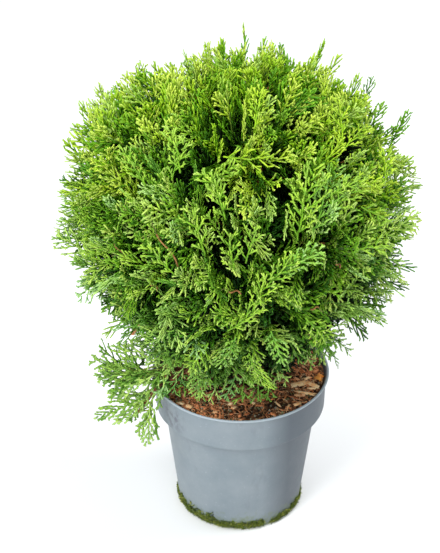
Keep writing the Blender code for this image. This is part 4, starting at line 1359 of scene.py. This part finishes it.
def fansOnShoots(paths, shootWays, places, rng):
    # a shoot's fans lie near one plane, to either side in turn; the plane is upright, or faces out low down
    count = len(paths)
    beside = unit(np.cross((0.0, 0.0, 1.0), shootWays))
    upright = beside + rng.normal(0.0, 0.45, (count, 3)) * (1.0, 1.0, 0.3) + shootWays * 0.25
    outward = shootWays * 0.9 + rng.normal(0.0, 0.32, (count, 3))
    plane = np.where(shootWays[:, 2:] > rng.normal(-0.12, 0.18, (count, 1)), upright, outward)
    sets = {key: [] for key in ("roots", "ways", "normals", "shoot")}
    hand = rng.choice([-1.0, 1.0], count)
    for number, share in enumerate(places):
        root, ahead = pointsOnShoots(paths, share)
        side = unit(np.cross(plane, ahead)) * (hand * (1.0 if number % 2 else -1.0))[:, None]
        side = unit(side + rng.normal(0.0, 0.30, (count, 3)))
        lean = fans["leanInner"] + (fans["leanOuter"] - fans["leanInner"]) * share
        lean = fans["leanEnd"] if share == 1.0 else lean
        lean = lean * rng.uniform(*fans["leanChance"], count)
        way = unit(ahead * np.cos(lean)[:, None] + side * np.sin(lean)[:, None])
        sets["roots"].append(root)
        sets["ways"].append(way)
        sets["normals"].append(np.cross(ahead, side) + rng.normal(0.0, 0.28, (count, 3)))
        sets["shoot"].append(np.arange(count))
    return {key: np.concatenate(value) for key, value in sets.items()}


def inClearing(middles):
    # true where a fan's middle lies on the crown's front within a clearing's width of its place
    away = middles - crownCentre
    across, up, towards = away @ viewRight, away @ viewUp, away @ viewBack
    inside = np.zeros(len(middles), bool)
    for x, y, width in clearings:
        inside |= np.hypot(across - x, up - y) < width
    return inside & (towards > clearingDepth)


def finishTable(table, lengths, spread, curl, strand, habit, rng):
    # fills in what every fan has: bends, widths, and a pattern drawn near its length; the habit is "flat", or
    # else the chance of an upright pattern rather than an open one
    count = len(lengths)
    table["lengths"] = lengths
    table["spread"] = spread * rng.uniform(0.85, 1.15, count)
    table["curl"] = curl + rng.uniform(-0.08, 0.14, count)
    table["sway"] = rng.normal(0.0, 0.08, count)
    table["strands"] = strand * rng.uniform(0.88, 1.12, count)
    size = np.argmin(np.abs(lengths[:, None] - np.array(fans["sizes"])), axis=1)
    kinds = list(fans["habits"])
    kind = kinds.index(habit) if isinstance(habit, str) else (rng.uniform(0.0, 1.0, count) < habit)
    table["pick"] = (size * len(kinds) + kind) * fans["variants"] + rng.integers(0, fans["variants"], count)
    return table


def flatSprays(feet, tips, facing, chance, spread, curl, strand, rng):
    # a flat spray from each foot to its tip, whose flat side faces a way but for a chance turn
    ways, lengths = unit(tips - feet), np.linalg.norm(tips - feet, axis=1)
    table = {"roots": feet, "ways": ways, "normals": facing + rng.normal(0.0, chance, feet.shape)}
    return finishTable(table, lengths, spread, curl, fans["strand"] * strand, "flat", rng)


def frontPlaces(spots, share):
    # the place on the crown's front, at a share of the leaves' reach, that shows at each spot (across, up):
    # the last step towards the eye that is inside, or one near the centre's plane where none is
    spots = np.array(spots)
    depth = np.linspace(-0.02, 0.19, 64)
    tried = acrossView(spots)[:, None] + viewBack * depth[:, None]
    inside = np.linalg.norm(tried, axis=-1) < leafReach(unit(tried)) * share
    foremost = np.where(inside.any(axis=1), len(depth) - 1 - np.argmax(inside[:, ::-1], axis=1), 9)
    return crownCentre + tried[np.arange(len(spots)), foremost]


def growLeaders(rng):
    # slender sprays on the outline: each way is outward with a lift, and its foot lies inside the crown
    tips = crownCentre + acrossView(np.array(leaders["tips"]))
    outward = unit(tips - crownCentre)
    ways = outward * 0.75 + rng.normal(0.0, 0.10, outward.shape)
    ways[:, 2] += np.where(outward[:, 2] > 0.3, *leaders["lift"])
    ways = unit(ways)
    lengths = rng.uniform(*leaders["lengths"], len(tips))
    table = {"roots": tips - ways * lengths[:, None], "ways": ways,
             "normals": viewBack + rng.normal(0.0, 0.5, ways.shape)}
    spread = np.where(outward[:, 2] > 0.75, *leaders["spread"])
    return finishTable(table, lengths, spread, 0.0, fans["strand"] * 0.85, 0.8, rng)


def growFrontSprays(rng):
    # bright sprays that lie on the crown's front, arched a little towards their tips
    ends = np.array(frontSprays)
    feet, tips = frontPlaces(ends[:, :2], 0.95), frontPlaces(ends[:, 2:], 1.02)
    return flatSprays(feet, tips, viewBack, 0.22, 1.0, 0.10, 0.98, rng)


def growLowSprays(rng):
    # the low branch's sprays face the front; a few more go out behind them
    outward = np.array(crown["lowSide"])
    feet, tips, spreads, behind = [], [], [], []
    sets = zip(masses[-2:], (lowBranch["first"], lowBranch["second"]), lowBranch["layers"])
    for mass, sprays, layers in sets:
        centre = np.array(mass["centre"])
        for foot, tip, spread in sprays:
            foot, tip = (centre + acrossView(np.array(end)) for end in (foot, tip))
            for layer in range(layers):
                # the second layer lies behind the first, shorter and turned a little
                shift = viewBack * (rng.uniform(0.002, 0.010) - 0.010 * layer)
                turned = np.cross(viewBack, tip - foot) * layer * rng.choice([-0.22, 0.22])
                end = foot + (tip - foot) * (1.0 - 0.10 * layer) + turned + shift
                feet.append(foot + shift)
                tips.append(end + outward * rng.uniform(0, 0.006))
                spreads.append(spread)
                behind.append(layer)
        for turn in np.linspace(0.0, math.tau, lowBranch["behind"], endpoint=False) + 0.4:
            way = np.array([-0.25, 0.60, 0.0]) + 0.6 * (viewRight * math.cos(turn) + viewUp * math.sin(turn))
            spreads.append(0.8)
            behind.append(1)
            feet.append(centre)
            tips.append(centre + unit(way) * rng.uniform(*lowBranch["behindLengths"]))
    table = flatSprays(np.array(feet), np.array(tips), viewBack, 0.25, np.array(spreads), 0.04, 1.12, rng)
    table["behind"] = np.array(behind)
    return table


def growSkirt(rng):
    # drooping sprays whose flat side faces out and up
    ends = np.array(skirtSprays)
    feet = ends[:, :3]
    tips = feet + (ends[:, 3:] - feet) * skirtShare
    outward = unit(tips * (1.0, 1.0, 0.0)) + (0.0, 0.0, 0.45)
    return flatSprays(feet, tips, outward, 0.25, 1.2, 0.04, 0.92, rng)


def growUnderside(rng):
    # leaves under the crown, behind the hanging sprays, dark with painted shade: a ring of feet, ways out and
    # down
    count = underside["count"]
    turn = rng.uniform(0.0, math.tau, count)
    outward = levelWays(turn)
    roots = outward * rng.uniform(*underside["radius"], count)[:, None]
    roots[:, 2] = rng.uniform(*underside["height"], count)
    ways = unit(outward + rng.normal(0.0, 0.5, (count, 3)) + (0.0, 0.0, -underside["droop"]))
    table = {"roots": roots, "ways": ways, "normals": outward + rng.normal(0.0, 0.5, (count, 3))}
    lengths = rng.uniform(*underside["lengths"], count)
    return finishTable(table, lengths, 1.2, 0.0, fans["innerStrand"] * 0.8, 0.0, rng)


greens = {
    # sRGB of each tone, from the dark inside, which is painted shade, to the tips, for the upper, middle and
    # lower masses
    # the upper masses' greens are lighter, partly yellower new growth and partly painted light from above
    "upper": (
        (8, 22, 2), (29, 62, 2), (65, 116, 7), (102, 161, 16), (142, 188, 26), (165, 201, 46), (182, 210, 76),
    ),
    "middle": (
        (6, 19, 2), (20, 49, 3), (47, 95, 8), (83, 140, 20), (118, 170, 36), (151, 193, 60), (175, 207, 94),
    ),
    # the lower masses' greens are darker and cooler, partly painted shade under the crown
    "lower": (
        (6, 18, 3), (19, 43, 5), (40, 82, 17), (72, 119, 30), (106, 154, 50), (139, 181, 74), (166, 203, 100),
    ),
}
toneNames = ("Deep", "Dusk", "Shade", "Leaf", "Fresh", "Bright", "Tip")
coolShare = 0.14                # share of the fans that show their bluer underside
depthSteps = (0.76, 0.85, 0.90, 0.945, 0.985)   # shares of the leaves' reach at which the tone changes; darker further in, as painted shade
slotOf = {"upper": "foliage_fresh", "middle": "foliage_green", "lower": "foliage_deep"}
upperMasses = 7                 # the masses are numbered from the top down
middleMasses = 10
lowestMass = crown["massCount"] - 1


def levelOf(number):
    # 0 for the upper masses, 1 for the middle ones, 2 for the rest and the low branch
    return np.where(number < upperMasses, 0, np.where(number < upperMasses + middleMasses, 1, 2))


def coolGreen(colour):
    # the same tone, a little bluer and greyer
    red, green, blue = colour
    return red * 0.93, green * 0.98, blue * 1.1 + 11


def greenMaterial(name, colour, specular):
    # mottled from a deeper, bluer green to a lighter, yellower one
    red, green, blue = colour
    dark = (red * 0.83, green * 0.88, blue * 0.90)
    pale = (red * 1.10 + 4, green * 1.06 + 4, blue * 0.97 + 4)
    return mottledMaterial(name, (dark, colour, pale), 95.0, 0.48, 900.0, 0.0002, specular)


def toneOfFans(tips, lively, rng):
    # painted shade: darker tones deep inside the crown and low under it; elsewhere the tone varies by shoot
    # and by chance
    away = tips - crownCentre
    depth = np.linalg.norm(away, axis=1) / leafReach(unit(away))
    depth = depth + 0.022 * lively + rng.normal(0.0, 0.048, len(tips))
    # painted shade: fans on the crown's underside fall to darker tones
    depth = depth - 0.11 * np.clip(-unit(away)[:, 2] - 0.15, 0.0, 0.5)
    return np.digitize(depth, depthSteps)


def keptFans(table, kept):
    # the rows of a table that are kept
    return {key: value[kept] for key, value in table.items()}


def growOuterFans(paths, owner, shootWays, rng):
    # the leaves that show, with the tone each starts from and the mass it belongs to
    lively = rng.uniform(-1.0, 1.0, len(paths))
    table = fansOnShoots(paths, shootWays, fans["places"], rng)
    upright = np.clip(table["ways"][:, 2], 0.0, 1.0)
    finishTable(table, reachLengths(table["roots"], table["ways"], rng), 1.05 - 0.15 * upright,
                0.06 - 0.10 * upright, fans["strand"], 0.15 + 0.75 * upright, rng)
    tips = table["roots"] + table["ways"] * table["lengths"][:, None]
    frames = fanFrames(table["ways"], table["normals"])
    kept = clearOfPot(tips) & clearOfPot(table["roots"])
    for edge in (-0.32, 0.32):
        body = table["ways"] * 0.6 + frames[..., 1] * edge
        kept &= clearOfPot(table["roots"] + body * table["lengths"][:, None])
    kept &= ~inClearing(table["roots"] * 0.4 + tips * 0.6)
    tone = toneOfFans(tips, lively[table["shoot"]], rng)
    number = owner[table["shoot"]]
    return keptFans(table, kept), tone[kept], number[kept]


def growInnerFans(paths, owner, shootWays, rng):
    # the leaves inside, dark with painted shade, and the mass each belongs to
    inner = fansOnShoots(paths, shootWays, fans["innerPlaces"], rng)
    inner["ways"] = unit(inner["ways"] + rng.normal(0.0, 0.5, inner["ways"].shape))
    lengths = rng.uniform(*fans["innerLengths"], len(inner["roots"]))
    finishTable(inner, lengths, 1.2, 0.0, fans["innerStrand"], 0.0, rng)
    tips = inner["roots"] + inner["ways"] * inner["lengths"][:, None]
    depth = np.linalg.norm(tips - crownCentre, axis=1) / leafReach(unit(tips - crownCentre))
    kept = clearOfPot(tips - (0.0, 0.0, 0.012)) & clearOfPot(inner["roots"]) & (depth < fans["innerLimit"])
    return keptFans(inner, kept), owner[inner["shoot"]][kept]


def buildCrown():
    # grows every fan, deals the flakes by level, tone and warmth, and makes one piece of each lot
    rng = np.random.default_rng(shoots["seed"])
    patterns = [fanTemplate(length, habit, rng)
                for length in fans["sizes"] for habit in fans["habits"] for _ in range(fans["variants"])]
    innerPatterns = [innerTemplate(rng) for _ in range(len(patterns))]
    paths, owner, shootWays = growCrownShoots(rng)
    outer, outerTones, outerMasses = growOuterFans(paths, owner, shootWays, rng)
    inner, innerMasses = growInnerFans(paths, owner, shootWays, rng)
    leader, front, skirt, low = growLeaders(rng), growFrontSprays(rng), growSkirt(rng), growLowSprays(rng)
    under = growUnderside(rng)
    leaderMasses = nearestMass(leader["ways"])
    frontMasses = nearestMass(unit(front["roots"] - crownCentre))
    leaderCount, frontCount, skirtCount, lowCount, underCount = (
        len(table["roots"]) for table in (leader, front, skirt, low, under))
    grown = [
        # fans, their patterns, the tone each starts from, and the mass each belongs to
        (outer, patterns, outerTones, outerMasses),
        # the inner leaves take the two darkest tones: painted shade
        (inner, innerPatterns, rng.integers(0, 2, len(innerMasses)), innerMasses),
        (leader, patterns, rng.integers(2, 5, leaderCount), leaderMasses),
        (front, patterns, np.full(frontCount, 4), frontMasses),
        (skirt, patterns, rng.integers(3, 6, skirtCount), np.full(skirtCount, lowestMass)),
        # the low branch's back layer starts a tone darker: painted shade
        (low, patterns, rng.integers(3, 7, lowCount) - low["behind"], np.full(lowCount, lowestMass + 1)),
        # the leaves under the crown take the two darkest tones: painted shade
        (under, innerPatterns, rng.integers(0, 2, underCount), np.full(underCount, lowestMass)),
    ]
    parts = [growFans(fanTable, fanPatterns) for fanTable, fanPatterns, _, _ in grown]
    flakes = np.concatenate([part[0] for part in parts])
    tones = np.concatenate([row[2][part[1]] + part[2] for row, part in zip(grown, parts)])
    levels = levelOf(np.concatenate([row[3][part[1]] for row, part in zip(grown, parts)]))
    tones = np.clip(tones, 0, len(toneNames) - 1)
    cool = np.concatenate([(rng.uniform(0.0, 1.0, len(row[0]["roots"])) < coolShare)[part[1]]
                           for row, part in zip(grown, parts)])
    for level, (levelName, colours) in enumerate(greens.items()):
        nodes = [mass["node"] for i, mass in enumerate(masses) if levelOf(i) == level]
        for tone, isCool in np.ndindex(len(toneNames), 2):
            chosen = flakes[(levels == level) & (tones == tone) & (cool == isCool)]
            if not len(chosen):
                continue
            name = levelName + "Sprays" + toneNames[tone] + ("Cool" if isCool else "")
            colour = coolGreen(colours[tone]) if isCool else colours[tone]
            piece = addMesh(name, chosen.reshape(-1, 3), flakeFaces(len(chosen)),
                            greenMaterial(name + "Green", colour, 0.05 + 0.055 * tone))
            standFor(piece, slotOf[levelName], *nodes)
            print(name, "triangles", len(chosen) * 8)
    buildTwigs(paths, low["roots"])


twigs = {
    "stemPoints": 12,
    "stemSides": 7,
    "stemTip": 0.0009,
    "stemPast": 0.016,          # how far a stem runs past its mass's centre, and on the low branch
    "lowStemPast": 0.006,
    "lowPoints": 5,
    "lowRadii": (0.0010, 0.0007),
}


def buildTwigs(paths, lowRoots):
    # stems from each bough's tip through its mass, brown feet and green ends of the shoots
    stems, runs = [], []
    count = twigs["stemPoints"]
    for i, mass in enumerate(masses):
        centre, out = np.array(mass["centre"]), np.array(mass["out"])
        start = mass["bends"][3] if i else np.array(trunkCentre(limbs["trunkTopZ"]))
        end = centre + out * (twigs["stemPast"] if i < crown["massCount"] else twigs["lowStemPast"])
        stems.append(bezier(start, start * 0.6 + centre * 0.4, centre * 0.8 + start * 0.2, end, count))
        runs.append(end - start)
    radii = np.broadcast_to(np.linspace(limbs["boughTip"], twigs["stemTip"], count), (len(stems), count))
    points, faces = sweepLimbs(np.array(stems), radii, twigs["stemSides"], besideOf(np.array(runs)))
    brown = mottledMaterial("twigBark", shoots["brown"], 160.0, 0.8, 800.0, 0.0003, 0.3)
    standFor(addMesh("massStems", points, faces, brown, smooth=True), "bark")

    across = besideOf(paths[:, -1] - paths[:, 0])
    split = shoots["points"] // 2
    sizes = np.linspace(shoots["footRadius"], shoots["tipRadius"], shoots["points"])
    inner = np.broadcast_to(sizes[:split + 1], (len(paths), split + 1))
    outer = np.broadcast_to(sizes[split:], (len(paths), shoots["points"] - split))
    points, faces = sweepLimbs(paths[:, :split + 1], inner, shoots["sides"], across)
    standFor(addMesh("brownTwigs", points, faces, brown, smooth=True), "bark")
    points, faces = sweepLimbs(paths[:, split:], outer, shoots["sides"], across)
    green = mottledMaterial("twigGreen", shoots["green"], 160.0, 0.6, 800.0, 0.0003, 0.35)
    standFor(addMesh("greenTwigs", points, faces, green, smooth=True), "foliage_green")

    # the low branch's twigs join each spray's foot to the nearer of the two stems
    centres = np.array([tuple(mass["centre"]) for mass in masses[-2:]])
    nearest = np.argmin(np.linalg.norm(lowRoots[:, None] - centres, axis=2), axis=1)
    lowStarts = centres[nearest]
    apart = np.linalg.norm(lowRoots - lowStarts, axis=1) > 0.001
    lowStarts, lowRoots = lowStarts[apart], lowRoots[apart]
    lowRuns, count = lowRoots - lowStarts, twigs["lowPoints"]
    lowPaths = lowStarts[:, None] + lowRuns[:, None] * np.linspace(0.0, 1.0, count)[:, None]
    lowRadii = np.broadcast_to(np.linspace(*twigs["lowRadii"], count), (len(lowRoots), count))
    points, faces = sweepLimbs(lowPaths, lowRadii, shoots["sides"], besideOf(lowRuns))
    standFor(addMesh("lowTwigs", points, faces, green, smooth=True), "foliage_deep")


def buildShownTwigs():
    # twigs that show between the sprays at the front, and the cut end of one at the lower left
    ends = np.array(shownTwigs["places"])
    feet, tips = frontPlaces(ends[:, :2], 0.90), frontPlaces(ends[:, 2:], 0.96)
    count = shownTwigs["points"]
    bend = feet * 0.65 + tips * 0.35 + viewUp * shownTwigs["bend"]
    paths = bezier(feet, bend, feet * 0.35 + tips * 0.65, tips, count)
    radii = np.broadcast_to(np.linspace(*shownTwigs["radii"], count), (len(paths), count))
    across = besideOf(tips - feet)
    crook = shownTwigs["crook"] * np.sin(np.linspace(0.0, 3.0 * math.pi, count))
    paths = paths + unit(np.cross(tips - feet, viewBack))[:, None] * crook[:, None]
    split = shownTwigs["split"]
    for name, part, colours in (("shownTwigs", slice(0, split + 1), shownTwigs["colours"]),
                                ("shownTwigTips", slice(split, count), shownTwigs["tipColours"])):
        material = mottledMaterial(name + "Bark", colours, 190.0, 0.7, 800.0, 0.0003, 0.35)
        points, faces = sweepLimbs(paths[:, part], radii[:, part], 6, across)
        standFor(addMesh(name, points, faces, material, smooth=True), "bark")
    foot, tip = (np.array([end]) for end in shownTwigs["stub"])
    path = foot[:, None] + (tip - foot)[:, None] * np.linspace(0.0, 1.0, 4)[:, None]
    points, faces = sweepLimbs(path, np.full((1, 4), shownTwigs["stubRadius"]), 10, besideOf(tip - foot))
    cut = mottledMaterial("cutWood", shownTwigs["cut"], 300.0, 0.6, 900.0, 0.0002, 0.3)
    standFor(addMesh("cutStub", points, faces, cut, smooth=True, sharpDegrees=50.0), "bark")


buildCrown()
buildShownTwigs()
print("crown grown")


# moss along the pot's foot

moss = {
    "seed": 71,
    "tufts": 3000,
    "bladesPerTuft": 5,
    "top": 0.018,               # no tuft stands higher up the pot than this
    "least": 0.0025,            # a band lower than this stays bare
    "lowest": 0.0012,
    "bladeLength": (0.0014, 0.0034),
    "bladeWidth": 0.0010,
    "gap": (math.radians(22.0), math.radians(29.0)),   # measured from the front towards the right
    # name: (sRGB, share of the blades)
    "tones": {
        "mossDark": ((40, 52, 20), 0.28),
        "mossOlive": ((98, 120, 32), 0.46),
        "mossPale": ((164, 172, 78), 0.26),
    },
}


def mossHeight(angle):
    # a ragged band, 10 mm + 8 mm exp(-((turn + 0.8) / 0.5)^2) - 6 mm behind, times noise of two sizes:
    # tallest at the front left, low and broken behind, bare in one gap at the front
    place = levelWays(angle)
    turn = (angle + math.pi / 2 + math.pi) % math.tau - math.pi
    behind = np.clip((np.abs(turn) - 1.1) / 0.4, 0, 1)
    tall = 0.0100 + 0.0080 * np.exp(-((turn + 0.80) / 0.50) ** 2) - 0.0060 * behind
    tall = tall * (1.0 + 0.35 * softNoise(place, 0.16, 9) + 0.40 * softNoise(place, 0.035, 10))
    bare = (turn > moss["gap"][0]) & (turn < moss["gap"][1])
    return np.where(bare, 0.0, np.clip(tall, 0.0, moss["top"]))


def buildMoss():
    # tufts thickest low down, z = lowest + (tall - lowest) u^1.35, each of a few short blades
    rng = np.random.default_rng(moss["seed"])
    count = moss["tufts"]
    angle = rng.uniform(0.0, math.tau, count)
    tall = mossHeight(angle)
    keep = tall > moss["least"]
    angle, tall = angle[keep], tall[keep]
    outward = levelWays(angle)
    lowest = moss["lowest"] + 0.0022 * np.clip(softNoise(outward, 0.12, 12), 0.0, 1.0)
    z = lowest + (tall - lowest) * rng.uniform(0.0, 1.0, len(tall)) ** 1.35 * rng.uniform(0.7, 1.2, len(tall))
    radius = np.where(z < pot["footCorner"], bodyRadiusAt(z) - 0.0012, bodyRadiusAt(z)) - 0.0002
    roots = outward * radius[:, None]
    roots[:, 2] = z
    blades = moss["bladesPerTuft"]
    roots = np.repeat(roots, blades, axis=0) + rng.normal(0.0, 0.0005, (len(tall) * blades, 3))
    outward = np.repeat(outward, blades, axis=0)
    ways = unit(outward * 0.55 + rng.normal(0.0, 0.55, outward.shape) + np.array([0.0, 0.0, 0.35]))
    across = unit(np.cross(ways, outward + 0.01))
    up = np.cross(ways, across)
    length = rng.uniform(*moss["bladeLength"], len(ways))[:, None]
    ring = barRing(across, up) * moss["bladeWidth"]
    flakes = np.concatenate([roots[:, None] + ring, (roots + ways * length)[:, None] + ring * 0.4], 1)
    flakes[..., 2] = np.maximum(flakes[..., 2], 0.0003)
    names = list(moss["tones"])
    shares = [share for _, share in moss["tones"].values()]
    dealt = rng.choice(len(names), len(flakes), p=shares)
    for i, (name, (colour, _)) in enumerate(moss["tones"].items()):
        chosen = flakes[dealt == i]
        material = greenMaterial(name + "Green", colour, 0.3)
        standFor(addMesh(name, chosen.reshape(-1, 3), flakeFaces(len(chosen)), material), "foliage_deep")


buildMoss()
print("moss set")


# stage: floor, lights and camera

stage = {
    "floorSize": 40.0,
    "floor": (0.86, 0.87, 0.88, 1.0),
    "sky": (0.96, 0.98, 1.0, 1.0),
    "skyPale": 1.30,            # strength of the room's light at its palest, and at its darkest
    "skyDark": 0.02,
    "darkWay": (0.93, 0.12, -0.28),     # where the room is darkest: low down at the right
    "aim": Vector((0.0, 0.0, 0.28)),    # where the lamps point
    # name: (place, size, watts)
    "lamps": {
        "keyLamp": ((-1.4, -1.7, 2.4), 1.4, 58.0),
        "fillLamp": ((0.5, -2.3, 1.0), 1.6, 9.5),
        "topLamp": ((1.3, 0.2, 2.5), 1.3, 47.0),
    },
}

view = {
    "height": 553,              # of the frame, in pixels, like the next three
    "focal": 1356.7,
    "across": 21.2,             # how far the pot's middle lies right of the frame's, and how far lower
    "raised": 9.1,
    "down": math.radians(31.0),
    "distance": 1.4,
    "target": Vector((0.0, 0.0, 0.27)),
}


def buildStage():
    # the room's light falls evenly from its palest side to its darkest: strength by the way's dot product
    side = stage["floorSize"] / 2
    points = np.array([(-side, -side, 0.0), (side, -side, 0.0), (side, side, 0.0), (-side, side, 0.0)])
    material, nodes, links, shader, places = newMaterial("paleFloor", 0.9, 0.1)
    pale = tuple(min(1.0, c * 1.02) for c in stage["floor"])
    links.new(rampOf(nodes, links, noiseOf(nodes, links, places, 3.0),
                     [(0.4, stage["floor"]), (0.6, pale)]), shader.inputs["Base Color"])
    floor = addMesh("paleFloor", points, [np.array([[0, 1, 2, 3]])], material)
    world = bpy.data.worlds.new("paleRoom")
    world.use_nodes = True
    nodes, links = world.node_tree.nodes, world.node_tree.links
    background = nodes["Background"]
    background.inputs["Color"].default_value = stage["sky"]
    dot = nodes.new("ShaderNodeVectorMath")
    dot.operation = "DOT_PRODUCT"
    links.new(nodes.new("ShaderNodeTexCoord").outputs["Generated"], dot.inputs[0])
    dot.inputs[1].default_value = unit(np.array(stage["darkWay"]))
    strength = rangeOf(nodes, links, dot.outputs["Value"], (-1.0, 1.0), (stage["skyPale"], stage["skyDark"]))
    links.new(strength, background.inputs["Strength"])
    bpy.context.scene.world = world
    for name, (place, size, watts) in stage["lamps"].items():
        lamp = bpy.data.lights.new(name, "AREA")
        lamp.shape = "DISK"
        lamp.size = size
        lamp.energy = watts
        holder = bpy.data.objects.new(name, lamp)
        aim = stage["aim"] - Vector(place)
        holder.matrix_world = Matrix.Translation(place) @ aim.to_track_quat("-Z", "Y").to_matrix().to_4x4()
        bpy.context.scene.collection.objects.link(holder)


def buildCamera():
    # stands back from the target, then shifts sideways and up so that the pot's middle falls where it should
    back = Vector((0.0, -math.cos(view["down"]), math.sin(view["down"])))
    right = Vector((1.0, 0.0, 0.0))
    up = back.cross(right)
    perPixel = view["distance"] / view["focal"]
    place = view["target"] + back * view["distance"] - right * view["across"] * perPixel
    place += up * view["raised"] * perPixel
    camera = bpy.data.cameras.new("camera")
    camera.sensor_fit = "VERTICAL"
    camera.sensor_height = 36.0
    camera.lens = view["focal"] * camera.sensor_height / view["height"]
    camera.clip_end = 60.0
    holder = bpy.data.objects.new("camera", camera)
    turn = Matrix((right, up, back)).transposed().to_4x4()
    holder.matrix_world = Matrix.Translation(place) @ turn
    bpy.context.scene.collection.objects.link(holder)
    bpy.context.scene.camera = holder


buildStage()
buildCamera()
bpy.context.scene.view_settings.view_transform = "Standard"
print("stage lit")
